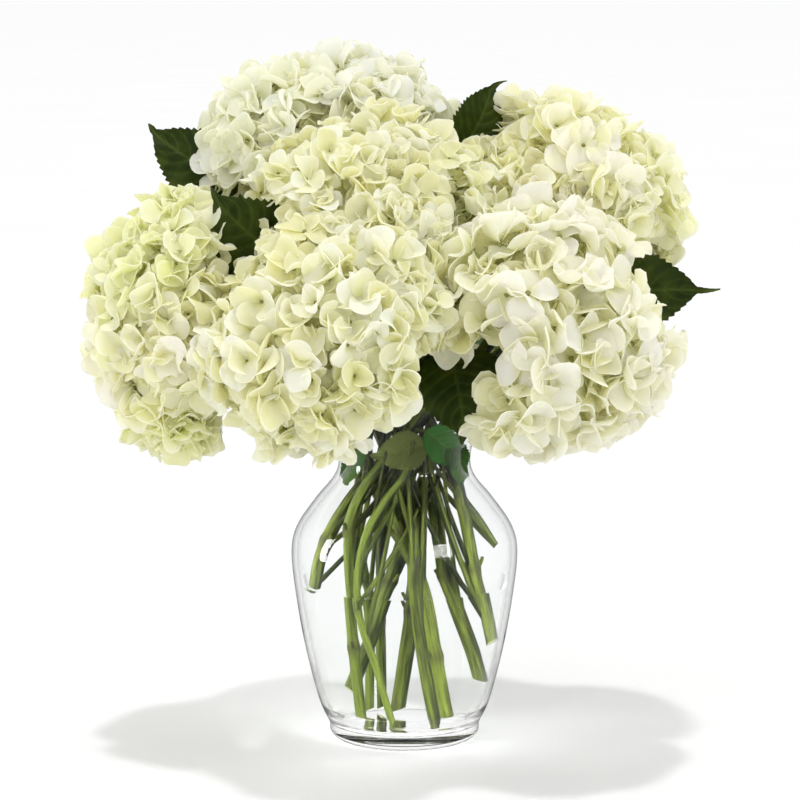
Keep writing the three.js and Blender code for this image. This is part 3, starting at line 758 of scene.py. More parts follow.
print("leaves:", sum(map(len, LEAVES.values())), "on", len(LEAVES), "stems")

# %% [markdown]
# ## The blade
#
# The side veins leave the midrib at a slant and curve forward, and the blade swells a little between them.
# The blade is a grid: one number runs from base to tip, the other from margin to margin. Teeth move only
# the outermost points, and the veins press in the face and stand out on the back. A flat blade cut from an
# outline would be quicker, but it has no body where the light falls along it.

# %% Leaf blades
TEETH, TOOTH = 19, 0.13
BLADE_COLUMNS = 29
LEAF_ARCH, LEAF_DROOP, LEAF_FOLD, LEAF_RIPPLE = 0.1, 0.12, 0.2, 0.035
DRIP, HOOK = 0.05, 0.05
BLADE = 0.6
SIDE_VEINS, VEIN_SLANT = 8, 0.26
RIB_WIDTH, VEIN_WIDTH = 0.9, 0.7
SWELL_BETWEEN = 0.55
FRESH = 0.06
LEAF_STALK = (1.7, 1.0)


def blade_half(s, width, drip=DRIP):
    """Half width: round below, narrowing fast near the end; the last share, drip, is a thin tip."""
    body = np.sin(np.pi * np.clip(s / (1 - drip), 0, 1) ** 0.72) ** 0.8 * (1 - 0.25 * s)
    drawn = 1 - 0.5 * np.clip((s - 0.78) / 0.2, 0, 1)
    thin = 0.35 + 1.5 * np.clip((1 - s) / drip, 0, 1)
    return np.maximum(thin, width / 2 * body * drawn)


def closed_strip(upper, lower):
    """Rows that run over the upper face and back under the lower one, with quads that close both ends.

    Works on one blade (rows, columns, 3) or on a whole array of them (blades, rows, columns, 3).
    """
    rows, columns = upper.shape[-3:-1]
    loop = np.concatenate([upper, lower[..., ::-1, :]], axis=-2)
    wide = 2 * columns
    j = np.arange(columns - 1)
    first = np.stack([j + 1, j, wide - 1 - j, wide - 2 - j], 1)
    last = first[:, ::-1] + (rows - 1) * wide
    return loop, np.vstack([grid_faces(rows, wide, closed=True), first, last])


def repeated(faces, times, points_each):
    """The faces of one shape, numbered on for each of its copies."""
    return (faces[None] + points_each * np.arange(times)[:, None, None]).reshape(-1, faces.shape[1])


def leaf_axes(leaf):
    """Base, length and three directions: along the midrib, across the blade and up from its face."""
    base, tip = np.array(leaf["base"], float), np.array(leaf["tip"], float)
    along = unit(tip - base)
    side = unit(np.cross(along, leaf["looks"]))
    return base, np.linalg.norm(tip - base), along, side, np.cross(side, along)


def add_leaf(parts, leaf, line, rng):
    """Points: base + s length along + v half width across + height up; s is 0 to 1 and v -1 to 1."""
    base, length, along, side, up = leaf_axes(leaf)
    s = ((np.arange(TEETH)[:, None] + [0, 0.35, 0.7, 0.93]) / TEETH).reshape(-1)
    s = np.append(s, 1.0)[:, None]
    even = np.linspace(-1, 1, BLADE_COLUMNS)[None]
    v = np.sign(even) * abs(even) ** 1.25
    half = blade_half(s, leaf["width"], leaf.get("drip", DRIP))
    tooth = TOOTH * ((s * TEETH) % 1) * half * (abs(v) > 0.99) * (s > 0.06)
    y = v * half + np.sign(v) * tooth
    bow = length * (LEAF_ARCH * np.sin(np.pi * s) - LEAF_DROOP * s * s)
    ripple = LEAF_RIPPLE * length * v**2 * np.sin(13 * s + rng.uniform(0, 6)) * np.sin(np.pi * s)
    q = (s - VEIN_SLANT * abs(v) ** 1.25) * SIDE_VEINS
    off_vein = abs((q + 0.5) % 1 - 0.5) / SIDE_VEINS * length
    side_vein = np.exp(-((off_vein / VEIN_WIDTH) ** 2)) * np.clip(half / 6, 0, 1) * (q > 0.3)
    rib = np.exp(-((y / RIB_WIDTH) ** 2))
    quilt = SWELL_BETWEEN * (1 - np.exp(-((off_vein / 1.8) ** 2))) * np.clip(half / 12, 0, 1) * (1 - v**4)
    height = bow + LEAF_FOLD * half * abs(v) ** 1.3 + ripple + quilt
    tip_curl = leaf.get("hook", HOOK) * length * np.clip((s - 0.75) / 0.25, 0, 1) ** 2
    middle = base + s[..., None] * length * along + (y + tip_curl)[..., None] * side
    upper = middle + (height + BLADE / 2 - 0.3 * rib)[..., None] * up
    lower = middle + (height - BLADE / 2 - 0.8 * rib * np.clip(1.15 - s, 0, 1))[..., None] * up
    points, faces = closed_strip(upper, lower)
    vein = np.clip(side_vein * 0.8 + rib, 0, 1)
    both = np.concatenate([vein, vein[:, ::-1]], axis=1)
    under = np.concatenate([np.zeros_like(vein), np.ones_like(vein)], axis=1)
    values = {"vein": both, "under": under}
    flat = {key: value.reshape(-1) for key, value in values.items()}
    fresh, olive = leaf.get("fresh", FRESH), leaf.get("olive", 0.0)
    parts.add(points, [faces], look=2, fresh=fresh, olive=olive, **flat)
    start = line[np.linalg.norm(line - np.array(leaf["joint"]), axis=1).argmin()]
    bend = (start + base) / 2 + 0.08 * length * unit(start - base + 1e-3) - 1.5 * up
    into_blade = middle[5, BLADE_COLUMNS // 2] + (bow[5] - 0.9) * up
    stalk = evenly(curve_through([start, bend, base - 0.6 * up, into_blade], 60), 2.0)
    add_twig(parts, stalk, *LEAF_STALK)


print("points on a blade:", 2 * BLADE_COLUMNS * (4 * TEETH + 1))

# %% [markdown]
# ## All stems with their leaves
#
# A stem and its leaves grew as one, so they are one piece. Each has a seed of its own for its random
# draws, so a change to one stem leaves the others as they are.

# %% Stems and leaves
FIRST_STEM_SEED = 40


def reach_of(name):
    """The stem's line, carried on to a leaf that grows from its very end."""
    line = stem_lines[name]
    for leaf in LEAVES.get(name, []):
        beyond = np.array(leaf["joint"], float) - line[-1]
        if beyond @ unit(line[-1] - line[-2]) > 3:
            line = np.vstack([line, leaf["joint"]])
    return line


for number, name in enumerate(STEM_RADIUS):
    rng = np.random.default_rng(FIRST_STEM_SEED + number)
    stem = Parts()
    line = reach_of(name)
    add_stem(stem, name, line, rng)
    for leaf in LEAVES.get(name, []):
        add_leaf(stem, leaf, evenly(curve_through(line, 400), 1.0), rng)
    leafy = name.startswith("leaf")
    make_piece(f"green_{name}", stem, green_looks[leafy], name)

# %% [markdown]
# ## One petal
#
# What look like the petals of a hydrangea are four broad sepals round a tiny eye. Each is a small grid.
# Its outline is a narrow claw that widens to a round end. It rises from the eye at an angle and then
# curls, which is an arc: the sine and cosine of a slope that changes evenly. Last, its sides cup up or
# down and its rim waves a little. There are thousands of petals, so a fine one has 70 faces and one of the
# inner layer 30.

# %% Petals
PETAL = 0.5
OVAL, THREE_SIDED = 0.035, 0.03
CLAW_WIDTH, CLAW_LENGTH = 0.4, 0.55


def disc_grid(count):
    """A square grid made round: X = a sqrt(1 - b^2/2), Y = b sqrt(1 - a^2/2), a and b from -1 to 1."""
    a, b = np.meshgrid(np.linspace(-1, 1, count), np.linspace(1, -1, count), indexing="ij")
    return a * np.sqrt(1 - b * b / 2), b * np.sqrt(1 - a * a / 2)


FINE_PETAL, PLAIN_PETAL = disc_grid(6), disc_grid(4)


def petal_shapes(grid, length, broad, rise, curl, cup, fold, twist, wave, phase):
    """x outwards, y across, z up, for whole arrays of petals at once; u runs from claw to tip, v across.

    slope = rise + curl (u - 0.3); x and z are its cosine and sine added up along the petal.
    lift = half width (cup v^2 + fold |v| + twist v u) + wave at the rim, laid off square to the slope.
    """
    around, rim = np.arctan2(grid[1], grid[0])[None], np.hypot(*grid)[None] ** 3
    phase = np.asarray(phase)[:, None, None]
    uneven = OVAL * np.sin(2 * around + 2.3 * phase) + THREE_SIDED * np.sin(3 * around - 1.3 * phase)
    notched = 1 + rim * uneven
    u, v = (grid[0] * np.where(grid[0] > 0, notched, 1) + 1) / 2, grid[1] * notched
    length, broad, rise, curl, cup, fold, twist, wave = (
        np.asarray(k)[:, None, None] for k in (length, broad, rise, curl, cup, fold, twist, wave)
    )
    half = broad * length
    start, slope = rise - 0.3 * curl, rise + curl * (u - 0.3)
    x = length * (np.sin(slope) - np.sin(start)) / curl + 0.6
    z = length * (np.cos(start) - np.cos(slope)) / curl
    lift = half * (cup * v * v + fold * abs(v) + twist * v * u)
    ruffle = np.sin(3 * around + phase) + 0.45 * np.sin(4 * around + 1.7 * phase)
    lift = lift + wave * length * rim * u * ruffle
    x, z = x - np.sin(slope) * lift, z + np.cos(slope) * lift
    widens = CLAW_WIDTH + (1 - CLAW_WIDTH) * np.sqrt(np.clip(u / CLAW_LENGTH, 0, 1))
    y = v * half * widens * (1 - 0.2 * np.minimum(1, abs(cup + fold + twist)))
    back, up = PETAL / 2 * np.sin(slope), PETAL / 2 * np.cos(slope)
    return [np.stack(np.broadcast_arrays(x - side * back, y, z + side * up), -1) for side in (1, -1)]


print("points on a fine and a plain petal:", [2 * grid[0].size for grid in (FINE_PETAL, PLAIN_PETAL)])


# %% [markdown]
# ## Where the florets sit
#
# A head is a dome. Florets are dealt out over it on a golden spiral, the even spread that plants
# themselves use, from the top down to the bare part round the stem. Neighbours lie at different depths so
# that they pass over each other, and the dome is a little lumpy. Where two heads press together, florets
# that would stand beyond the parting plane are left out, and the ones before it are pushed back. "faces" is
# the way the head looks, "across" and "along" its half sizes, and "petal" the length of one petal. Florets
# could be scattered over a sphere by geometry nodes too, but the partings and the leaves are easier to
# keep clear of with arrays.

# %% The heads
HEADS = {
    "front_left": dict(
        centre=(-38, -80, 241), faces=(-0.22, -0.76, 0.61), across=73, along=56, petal=15.5, look="ivory"
    ),
    "front_right": dict(
        centre=(77, -68, 240), faces=(0.42, -0.78, 0.46), across=71, along=60, petal=18.5, look="white"
    ),
    "centre": dict(
        centre=(-17, -24, 291), faces=(0.05, -0.5, 0.86), across=73, along=55, petal=12.5, look="ivory"
    ),
    "top_left": dict(
        centre=(-43, 63, 329), faces=(-0.15, 0.25, 0.95), across=75, along=55, petal=16.5, look="pale"
    ),
    "top_right": dict(
        centre=(91, 33, 300), faces=(0.5, 0.2, 0.84), across=75, along=57, petal=15.5, look="lime"
    ),
    "left": dict(
        centre=(-122, -5, 238), faces=(-0.96, -0.1, 0.12), across=74, along=53, petal=14.5, look="lime",
        inner=1.5,
    ),
    "back": dict(
        centre=(5, 88, 246), faces=(0.05, 0.85, 0.5), across=70, along=55, petal=16, look="ivory"
    ),
}
SPREAD_ROOM = 22


def reach_towards(head, direction):
    """Distance from a head's centre to its surface: that of a flattened ball along its own axis."""
    t = direction @ unit(head["faces"])
    return 1 / math.sqrt((1 - t * t) / head["across"] ** 2 + t * t / head["along"] ** 2)


def partings(name):
    """Planes halfway through the overlap with each neighbour, each a point and a direction."""
    head, planes = HEADS[name], []
    for other in (HEADS[key] for key in HEADS if key != name):
        gap = np.subtract(other["centre"], head["centre"]).astype(float)
        apart, to_other = np.linalg.norm(gap), unit(gap)
        mine, theirs = reach_towards(head, to_other), reach_towards(other, -to_other)
        if apart < mine + theirs + 2 * SPREAD_ROOM:
            planes.append((head["centre"] + to_other * (mine + (apart - mine - theirs) / 2), to_other))
    return planes


def dome_axes(head):
    """The head's own axis and two directions square to it."""
    axis = unit(head["faces"])
    side = unit(np.cross(axis, [0.31, 0.2, -0.93]))
    return np.stack([side, np.cross(axis, side), axis])


print("neighbours that each head presses on:", {name: len(partings(name)) for name in HEADS})

# %% [markdown]
# ## What the florets make room for
#
# A leaf that pokes out between the heads has pushed florets aside, and so has the vase's lip. Each floret
# on the spiral is asked whether it is in the way, and is left out if it is. An inner layer of plainer
# florets is dealt out in the same way, deeper down, so that no one looks through a head.

# %% Sites of the florets
COVER, INNER_COVER = 3.6, 2.6
MOST_FLORETS = 260
BARE_ANGLE = 2.05
SHALLOW_ENOUGH, DEEPEST, INNERMOST = 0.0, 12.0, 20.0
LIP_HOLDS_TO_SIDE, LIP_HOLDS_UP_TO = 28.0, 202.0
LEAF_HOLDS_BEFORE, LEAF_HOLDS_BEHIND = 80, 1.6
LUMP, LEAN, SUNK = 0.024, 0.36, 0.42
FLORET_AREA, FLORETS_WITHIN = 2.4, 0.93
LEFT_OUT_PAST = 4
PUSHED_BACK_FROM, PUSHED_BACK_BY = 12, 10
GOLDEN_TURN = np.pi * (3 - math.sqrt(5))


def on_ball(t, a):
    """Points on a ball of radius 1, at height t and turned by a about its axis."""
    flat = np.sqrt(1 - t * t)
    return np.stack([flat * np.cos(a), flat * np.sin(a), t], 1)


def clear_of_leaves(centre, room):
    """Which florets leave the blades free: a blade pushes aside what is before it and close behind it."""
    free = np.ones(len(centre), bool)
    for leaf in (leaf for leaves in LEAVES.values() for leaf in leaves if "open" in leaf):
        base, length, along, side, up = leaf_axes(leaf)
        s, across, front = (centre - base) @ along / length, (centre - base) @ side, (centre - base) @ up
        first, last, left, right = leaf["open"]
        reach = blade_half(s, leaf["width"]) + np.where(across > 0, left, right) * room
        over = (s > first) & (s < last) & (abs(across) < reach)
        free &= ~(over & (front > -LEAF_HOLDS_BEHIND * room) & (front < LEAF_HOLDS_BEFORE))
    return free


def clear_of_lip(centre):
    """Which florets stay: the lip and the leaves in the neck push up what would hang before them."""
    return (abs(centre[:, 0]) > LIP_HOLDS_TO_SIDE) | (centre[:, 2] > LIP_HOLDS_UP_TO) | (centre[:, 1] > 0)


def floret_sites(name, rng, cover, shallow, deep):
    """Centres, outward directions and depths of the kept florets, which hide the dome cover times over."""
    head = HEADS[name]
    area = 2 * np.pi * (1 - math.cos(BARE_ANGLE)) * (head["across"] * FLORETS_WITHIN) ** 2
    count = min(round(cover * area / (FLORET_AREA * head["petal"] ** 2)), MOST_FLORETS)
    i = np.arange(count) + 0.5
    t = 1 - i / count * (1 - math.cos(BARE_ANGLE))
    a = i * GOLDEN_TURN + rng.uniform(-0.25, 0.25, count)
    unit_place = on_ball(t, a)
    pull, beat = rng.normal(0, 3.2, (4, 3)), rng.uniform(0, 6.28, 4)
    lumps = 1 + LUMP * np.cos(unit_place @ pull.T + beat).sum(axis=1)
    size = np.array([head["across"], head["across"], head["along"]])
    axes = dome_axes(head)
    outward = unit(unit_place / size) @ axes
    depth = (shallow + (deep - shallow) * rng.uniform(0, 1, count) ** 1.3) * head["petal"] / 16
    centre = head["centre"] + (unit_place * size * lumps[:, None]) @ axes
    centre = centre - (depth + SUNK * head["petal"])[:, None] * outward
    keep = clear_of_leaves(centre, 0.6 * head["petal"]) & clear_of_lip(centre)
    lean = rng.normal(0, LEAN, (count, 3))
    for on, normal in partings(name):
        beyond = (centre - on) @ normal
        keep &= beyond < LEFT_OUT_PAST
        pressed = beyond + PUSHED_BACK_FROM
        eased = -PUSHED_BACK_FROM + PUSHED_BACK_BY * (1 - np.exp(-pressed / PUSHED_BACK_BY))
        folded = np.where(pressed > 0, eased, beyond)
        centre = centre + (folded - beyond)[:, None] * normal
        lean -= 0.35 * np.clip((beyond + 14) / 14, 0, 1)[:, None] * normal
    return centre[keep], unit(outward + lean)[keep], depth[keep] / DEEPEST


print("a spiral over a head turns", round(math.degrees(GOLDEN_TURN), 1), "degrees from floret to floret")

# %% [markdown]
# ## From sites to florets
#
# Each floret gets a frame of its own: the way it faces, and two directions square to that, turned at
# random. Its four petals stand round it a quarter turn apart, two a little above the other two, so that
# they overlap as real ones do. Some florets are wide open, some cupped, and the crowded ones stay shut a
# little, which gives the light and dark of a real head. One petal could be copied by instancing, but then
# all would be alike, and here each one is bent in its own way.

# %% Petals on their florets
def placed(local, centre, frame_axes):
    """Local points (things, points, 3) set at their centres along each thing's own three directions."""
    return centre[:, None] + np.einsum("tpk,tkc->tpc", local, frame_axes)


def add_petals(parts, head, grid, centre, facing, depth, lime, rng):
    """Four petals on each floret, all worked out at once."""
    n = len(centre)
    each = lambda low, high: rng.uniform(low, high, (n, 4))
    side = unit(np.cross(facing, rng.normal(size=(n, 3))))
    other = np.cross(facing, side)
    length = head["petal"] * rng.uniform(0.78, 1.16, (n, 1)) * each(0.84, 1.12)
    rise = rng.uniform(0.0, 0.95, (n, 1)) + each(-0.35, 0.35) + 0.1 * depth[:, None]
    curl = each(0.3, 1.7) * np.where(each(0, 1) < 0.66, -1, 1)
    cup, fold, twist = each(-0.3, 0.75), each(-0.12, 0.25), each(-0.6, 0.6)
    wave, phase, broad = each(0.04, 0.15), each(0, 6.28), each(0.5, 0.63)
    shape = (length, broad, rise, curl, cup, fold, twist, wave, phase)
    upper, lower = petal_shapes(grid, *(k.reshape(-1) for k in shape))
    angle = (np.arange(4) * np.pi / 2 + each(-0.22, 0.22)).reshape(-1)
    turn = np.cos(angle)[:, None], np.sin(angle)[:, None]
    side4, other4, face4 = (np.repeat(k, 4, axis=0) for k in (side, other, facing))
    axes = np.stack([turn[0] * side4 + turn[1] * other4, turn[0] * other4 - turn[1] * side4, face4], 1)
    lifted = np.repeat(centre, 4, axis=0) + np.tile([0.4, -0.4], 2 * n)[:, None] * face4
    loop, faces = closed_strip(upper, lower)
    petals, per = 4 * n, loop.shape[1] * loop.shape[2]
    points = placed(loop.reshape(petals, per, 3), lifted, axes)
    flat = np.stack([(grid[0] + 1) / 2, grid[1]], -1)
    uv = np.concatenate([flat, flat[:, ::-1]], axis=1).reshape(-1, 2)
    rim = np.hypot(2 * uv[:, 0] - 1, uv[:, 1])
    own = lambda values: np.repeat(values, per)
    tint = 0.55 * np.repeat(rng.uniform(0, 1, n), 4) + 0.45 * rng.uniform(0, 1, petals)
    shared = {"uv": np.tile(uv, (petals, 1)), "rim": np.tile(rim, petals)}
    drawn = {"deep": own(np.repeat(depth, 4)), "lime": own(np.repeat(lime, 4)), "tint": own(tint)}
    parts.add(points, [repeated(faces, petals, per)], look=0, **shared, **drawn)


print("fine petals on a full head:", 4 * MOST_FLORETS)

# %% [markdown]
# ## Eyes and stalks
#
# The true flower of a hydrangea is the tiny bead in the middle of the four sepals. From each bead a thin
# stalk runs back to a branch, and the branches meet at the end of the stem. They are seen only between
# petals and from below, so they are plain, but without them the florets would float.

# %% Eyes and stalks
EYE = np.array([[1.5, 0.1], [1.35, 1.0], [0.8, 1.6]])
EYE_ENDS = [[0, 0, -0.8], [0, 0, 1.8]]
EYE_SIDES, EYE_FOR_PETAL = 6, 17
STALK_STATIONS, STALK_SIDES, STALK_RADIUS = 5, 5, 0.55
BRANCHES, BRANCH_REACH, BRANCH_RADII = 11, 0.42, (2.0, 1.1)
BRANCH_SIDES, BRANCH_STEP, TIP_ROOM = 7, 6.0, 6


def add_eyes(parts, head, centre, facing, rng):
    """A small closed bead in the middle of each floret."""
    n = len(centre)
    local = np.vstack([rings(*EYE.T, EYE_SIDES), EYE_ENDS]) * head["petal"] / EYE_FOR_PETAL
    side = unit(np.cross(facing, rng.normal(size=(n, 3))))
    axes = np.stack([side, np.cross(facing, side), facing], 1)
    points = placed(np.repeat(local[None], n, axis=0), centre, axes)
    body, ends = grid_faces(len(EYE), EYE_SIDES, closed=True), np.vstack(end_fans(len(EYE), EYE_SIDES))
    parts.add(points, [repeated(body, n, len(local)), repeated(ends, n, len(local))], look=1)


def branch_tips(name):
    """Ends of the branches, dealt out under the dome; those past a parting plane are left out."""
    head = HEADS[name]
    i = np.arange(BRANCHES) + 0.5
    t = 1 - i / BRANCHES * 1.1
    size = [head["across"], head["across"], head["along"]]
    tips = head["centre"] + (on_ball(t, i * GOLDEN_TURN) * size * BRANCH_REACH) @ dome_axes(head)
    for on, normal in partings(name):
        tips = tips[(tips - on) @ normal < -TIP_ROOM]
    return tips


def add_stalks(parts, name, centre, facing):
    """Branches from the stem's end, and from their tips a thin stalk to each floret.

    A stalk is a curve with one bend: (1-t)^2 floret + 2t(1-t) bend + t^2 tip.
    """
    tips = branch_tips(name)
    root = stem_lines["stem_" + name][-1]
    axis = unit(HEADS[name]["faces"])
    for tip in tips:
        bend = root + 0.4 * np.linalg.norm(tip - root) * axis
        line = evenly(curve_through([root - 2 * axis, bend, tip], 20), BRANCH_STEP)
        points, sides, caps = tube(line, np.linspace(*BRANCH_RADII, len(line))[:, None], sides=BRANCH_SIDES)
        parts.add(points, [sides, *caps], look=2)
    near = np.linalg.norm(centre[:, None] - tips[None], axis=2).argmin(axis=1)
    start, end = centre - 0.4 * facing, tips[near]
    bend = start - 0.5 * np.linalg.norm(end - start, axis=1, keepdims=True) * facing
    t = np.linspace(0, 1, STALK_STATIONS)[None, :, None]
    line = (1 - t) ** 2 * start[:, None] + 2 * t * (1 - t) * bend[:, None] + t**2 * end[:, None]
    run = unit(np.gradient(line, axis=1))
    side = unit(np.cross(run, [0.3, 0.9, 0.31]))
    other = np.cross(run, side)
    a = angles(STALK_SIDES)
    ring = np.cos(a)[:, None] * side[:, :, None] + np.sin(a)[:, None] * other[:, :, None]
    points = line[:, :, None] + STALK_RADIUS * ring
    per = STALK_STATIONS * STALK_SIDES
    ends = np.stack([np.arange(STALK_SIDES)[::-1], np.arange(STALK_SIDES) + per - STALK_SIDES])
    body = grid_faces(STALK_STATIONS, STALK_SIDES, closed=True)
    parts.add(points, [repeated(body, len(centre), per), repeated(ends, len(centre), per)], look=2)


print("branches under a lone head:", BRANCHES)

# %% [markdown]
# ## Petal finish
#
# A white hydrangea is never plain white. The petals are ivory, greener towards the claw and where the head
# is young, thin at the rim, where a highlight is painted, with a fan of faint veins. Light passes through
# them, so a share of the finish is translucent, and the deeper florets are painted yellower, a painted warm
# shade, so that the hollows between them glow yellow instead of going grey. Light that scatters inside a
# solid would be truer still, but it is slow, and a petal is too thin to need it.

# %% Petal finish
YOUNG_LIME, HOLLOW_SHADE_YELLOW = colour(232, 238, 150), colour(247, 246, 208)
CLAW_GREEN, RIM_HIGHLIGHT = colour(234, 237, 170), colour(255, 255, 250)
GLOW, GLOW_SHARE = colour(255, 253, 232), 0.52


def petal_finish(name, body, shade):
    """Blotches from body to shade, lime where the head is young, green at the claw, fine veins; a painted
    highlight at the rim, and deep florets painted yellower as the warm shade of the hollows.
    """
    look = Finish(name)
    u, v = look.shape_uv()
    toned = look.plus(look.noise(0.018), look.times(look.attribute("tint"), 1.1))
    shown = look.blend(look.ramp(toned, 0.72, 1.4), body, shade)
    shown = look.blend(look.attribute("lime"), shown, YOUNG_LIME)
    # painted shade: the deeper a floret lies, the yellower it is, for the warm shade of the hollows
    shown = look.blend(look.ramp(look.attribute("deep"), 0.3, 1.4, 0.0, 0.75), shown, HOLLOW_SHADE_YELLOW)
    claw = look.sum("SUBTRACT", 1.0, look.ramp(u, 0.02, 0.42))
    shown = look.blend(look.times(claw, 0.5), shown, CLAW_GREEN)
    # painted highlight: a pale line along the rim of each petal
    rim = look.ramp(look.attribute("rim"), 0.84, 1.0)
    shown = look.blend(look.times(rim, 0.6), shown, RIM_HIGHLIGHT)
    fan = look.sum("DIVIDE", look.times(v, 24.0), look.plus(u, 0.35))
    veins = look.sum("POWER", look.sum("ABSOLUTE", look.sum("SINE", fan)), 0.35)
    crease = look.plus(look.times(veins, 0.5), look.noise(0.003, 2.0))
    surface = look.surface(shown, look.bump(crease, 0.35, 0.3 * MM), 0.6, shine=0.2)
    glow = look.node("ShaderNodeBsdfTranslucent", Color=look.blend(0.5, shown, GLOW))
    return look.show(look.mix(GLOW_SHARE, surface, glow))


print("light that a petal lets through:", GLOW_SHARE)

# %% [markdown]
# ## Four tints of white
#
# A bunch holds heads of different ages. Most are ivory, the big front one is a purer white, the one that
# stands farthest up is paler, and two are young, with lime in their shade. The eyes and stalks need only
# two colours in soft blotches.


# %% Finishes for petals, eyes and stalks
def plain_finish(name, first, second, size, rough):
    """Two colours in soft blotches, with a matching bump."""
    look = Finish(name)
    cloud = look.noise(size, 2.0)
    return look.show(look.surface(look.blend(cloud, first, second), look.bump(cloud, 0.4, 0.2 * MM), rough))


petal_looks = {
    "ivory": petal_finish("petal_ivory", colour(252, 253, 251), colour(246, 245, 213)),
    "white": petal_finish("petal_white", colour(253, 253, 255), colour(248, 248, 235)),
    "pale": petal_finish("petal_pale", colour(251, 252, 255), colour(249, 250, 243)),
    "lime": petal_finish("petal_lime", colour(255, 254, 255), colour(252, 252, 230)),
}
eye_look = plain_finish("floret_eye", colour(164, 172, 92), colour(112, 92, 50), 0.004, 0.5)
stalk_look = plain_finish("floret_stalk", colour(186, 200, 128), colour(158, 176, 96), 0.006, 0.5)
print("petal finishes:", [look.name for look in petal_looks.values()])

# %% [markdown]
# ## The seven heads
#
# Each head is one piece: fine florets outside, plain ones inside, eyes, stalks and branches. How lime a
# floret is changes slowly through the bunch, so that patches of a young head differ. The left head has
# many small florets, so a thinner inner layer is enough for it.

# %% The seven heads
FIRST_HEAD_SEED = 700


def young(name, centre):
    """How lime each floret is: patches of the left head, the upper right one's outer side, others barely."""
    slow = 0.5 + 0.5 * np.sin(centre @ np.array([0.05, 0.03, -0.06]) + 1.0)
    if name == "left":
        return 0.04 + 0.32 * slow**3
    if name == "top_right":
        return 0.2 * np.clip((centre[:, 0] - HEADS[name]["centre"][0]) / 90, 0, 1) + 0.1 * slow
    return 0.08 * slow**2


for number, name in enumerate(HEADS):
    rng = np.random.default_rng(FIRST_HEAD_SEED + number)
    inner_cover = HEADS[name].get("inner", INNER_COVER)
    centre, facing, depth = floret_sites(name, rng, COVER, SHALLOW_ENOUGH, DEEPEST)
    inner, inner_facing, inner_depth = floret_sites(name, rng, inner_cover, DEEPEST, INNERMOST)
    bloom = Parts()
    add_petals(bloom, HEADS[name], FINE_PETAL, centre, facing, depth, young(name, centre), rng)
    add_petals(bloom, HEADS[name], PLAIN_PETAL, inner, inner_facing, inner_depth, young(name, inner), rng)
    add_eyes(bloom, HEADS[name], centre, facing, rng)
    add_stalks(bloom, name, centre, facing)
    kind = HEADS[name]["look"]
    print(name, "florets:", len(centre), "outer,", len(inner), "inner")
    looks = [petal_looks[kind], eye_look, stalk_look]
    make_piece(f"flower_head_{name}", bloom, looks, f"bloom_{name}", sharp=75)

# %% [markdown]
# ## Floor and sky
#
# A pale floor and an even white sky stand in for a studio's white sweep. Clear glass is drawn by what it
# mirrors and bends, and a photographer sets dark cards beside it to give it an outline. Here the sky is
# dimmed instead, only for rays that are mirrored. A ray that passes through glass is also called glossy, so
# a ray counts as mirrored when it is glossy and doesn't pass through.

# %% Floor and sky
FLOOR_HALF = 400.0
FLOOR_GAP = 0.2
SKY, SKY_IN_GLASS = 1.0, 0.15
floor_mesh = bpy.data.meshes.new("studio_floor")
square = FLOOR_HALF * np.array([[-1, -1, 0], [1, -1, 0], [1, 1, 0], [-1, 1, 0]], float)
floor_mesh.from_pydata(square, [], [[0, 1, 2, 3]])
white = plain_finish("studio_white", colour(231, 231, 232), colour(235, 235, 236), 0.5, 0.9)
floor_mesh.materials.append(white)
floor = into_scene("studio_floor", floor_mesh)
floor.location.z = -FLOOR_GAP * MM
floor.visible_glossy = False

world = bpy.data.worlds.new("white_sky")
world.use_nodes = True
nodes, links = world.node_tree.nodes, world.node_tree.links
sky = nodes["Background"]
sky.inputs["Color"].default_value = (1.0, 1.0, 1.0, 1.0)
ray = nodes.new("ShaderNodeLightPath")
dimmed = nodes.new("ShaderNodeMapRange")
dimmed.inputs["To Min"].default_value, dimmed.inputs["To Max"].default_value = SKY, SKY_IN_GLASS
mirrored = nodes.new("ShaderNodeMath")
mirrored.operation = "GREATER_THAN"
links.new(ray.outputs["Is Glossy Ray"], mirrored.inputs[0])
links.new(ray.outputs["Is Transmission Ray"], mirrored.inputs[1])
links.new(mirrored.outputs[0], dimmed.inputs["Value"])
links.new(dimmed.outputs[0], sky.inputs["Strength"])
bpy.context.scene.world = world
print("the sky's strength:", SKY, "and in mirrors:", SKY_IN_GLASS)

# %% [markdown]
# ## Lamps
#
# One soft sun from high up gives the shadow under the bunch, and two narrow strips beside it pick out stems
# and leaves. Windows in a room show as bright patches on a vase. Two lamps stand for them, linked to the
# vase alone and seen only as reflections, so the flowers take no light from them.

# %% Lamps
AIM = Vector((0, 0, 0.16))
SUN, SUN_ANGLE = 0.95, math.radians(3.5)
STRIP, STRIP_WIDTH, STRIP_HEIGHT = 1.2, 0.06, 0.7
WINDOW_RADIANCE, WINDOW_DISTANCE, WINDOW_AIM = 50.0, 1.2, 0.11
WINDOWS = [
    ("window_right", math.radians(38), math.radians(24), 0.5, 0.5),
    ("window_left", math.radians(-88), math.radians(14), 0.2, 0.9),
]


def add_lamp(name, kind, energy, place, only=None, **settings):
    """A lamp that shines from its place towards the middle of the bunch, or only on one group of pieces."""
    lamp = into_scene(name, bpy.data.lights.new(name, kind))
    lamp.data.energy = energy
    for key, value in settings.items():
        setattr(lamp.data, key, value)
    lamp.location = place
    aim = AIM - Vector(place) if kind == "AREA" else -Vector(place)
    lamp.rotation_euler = aim.to_track_quat("-Z", "Y").to_euler()
    lamp.visible_camera = False
    lamp.light_linking.receiver_collection = only
    lamp.visible_diffuse = lamp.visible_transmission = only is None


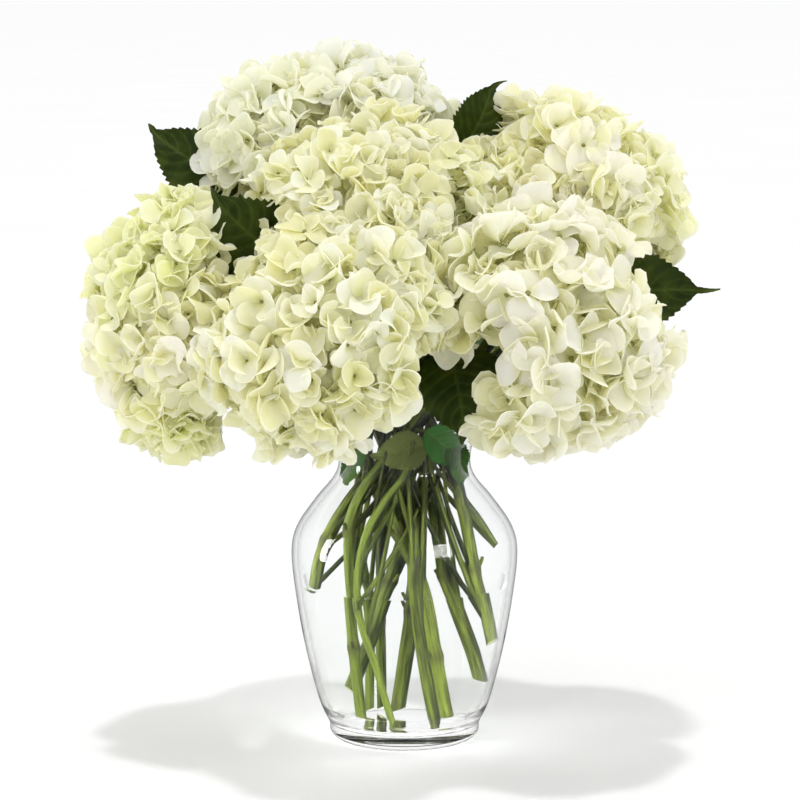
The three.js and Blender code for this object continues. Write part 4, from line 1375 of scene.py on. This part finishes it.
add_lamp("overhead_sun", "SUN", SUN, (-0.02, -0.03, 1.0), angle=SUN_ANGLE)
strip = {"shape": "RECTANGLE", "size": STRIP_WIDTH, "size_y": STRIP_HEIGHT}
add_lamp("left_strip", "AREA", STRIP, (-0.95, -0.25, 0.5), **strip)
add_lamp("right_strip", "AREA", STRIP, (0.72, -0.85, 0.55), **strip)

sparkle = bpy.data.collections.new("takes_sparkle")
sparkle.objects.link(bpy.data.objects["glass_vase"])
for name, turn, height, wide, tall in WINDOWS:
    level = math.cos(height)
    towards = np.array([math.sin(turn) * level, -math.cos(turn) * level, math.sin(height)])
    place = (WINDOW_DISTANCE * towards + [0, 0, WINDOW_AIM]).tolist()
    power = WINDOW_RADIANCE * math.pi * wide * tall
    add_lamp(name, "AREA", power, place, sparkle, shape="RECTANGLE", size=wide, size_y=tall)
    print(name, "at", np.round(place, 2).tolist(), "with", round(power, 1), "watts")

# %% [markdown]
# ## Camera
#
# The camera looks slightly down from the front with a long lens, as the photograph was taken. The lens is
# worked out from how many pixels a millimetre should cover. Light may bounce often before it is given up:
# a look through the vase crosses many faces, and a ray that runs out of bounces leaves a black patch. In a
# white head the many bounces between petals keep the hollows bright.

# %% Camera and bounces
VIEW_HEIGHT = 192 * MM
VIEW_SIDE = -2.5 * MM
VIEW_DISTANCE = 1600 * MM
VIEW_DOWN = math.radians(8)
SENSOR, PIXELS_PER_MM, PICTURE_WIDTH = 36, 1.787, 800
GLASS_BOUNCES, PETAL_BOUNCES, CLEAR_PASSES = 48, 20, 16
camera = into_scene("camera", bpy.data.cameras.new("camera"))
camera.data.sensor_width = SENSOR
camera.data.lens = SENSOR * PIXELS_PER_MM * VIEW_DISTANCE / MM / PICTURE_WIDTH
camera.location = (
    VIEW_SIDE,
    -VIEW_DISTANCE * math.cos(VIEW_DOWN),
    VIEW_HEIGHT + VIEW_DISTANCE * math.sin(VIEW_DOWN),
)
camera.rotation_euler = (math.pi / 2 - VIEW_DOWN, 0, 0)
bpy.context.scene.camera = camera
bpy.context.scene.view_settings.view_transform = "Standard"
cycles = bpy.context.scene.cycles
cycles.max_bounces = cycles.transmission_bounces = cycles.glossy_bounces = GLASS_BOUNCES
cycles.diffuse_bounces, cycles.transparent_max_bounces = PETAL_BOUNCES, CLEAR_PASSES
print("lens:", round(camera.data.lens, 1), "mm")
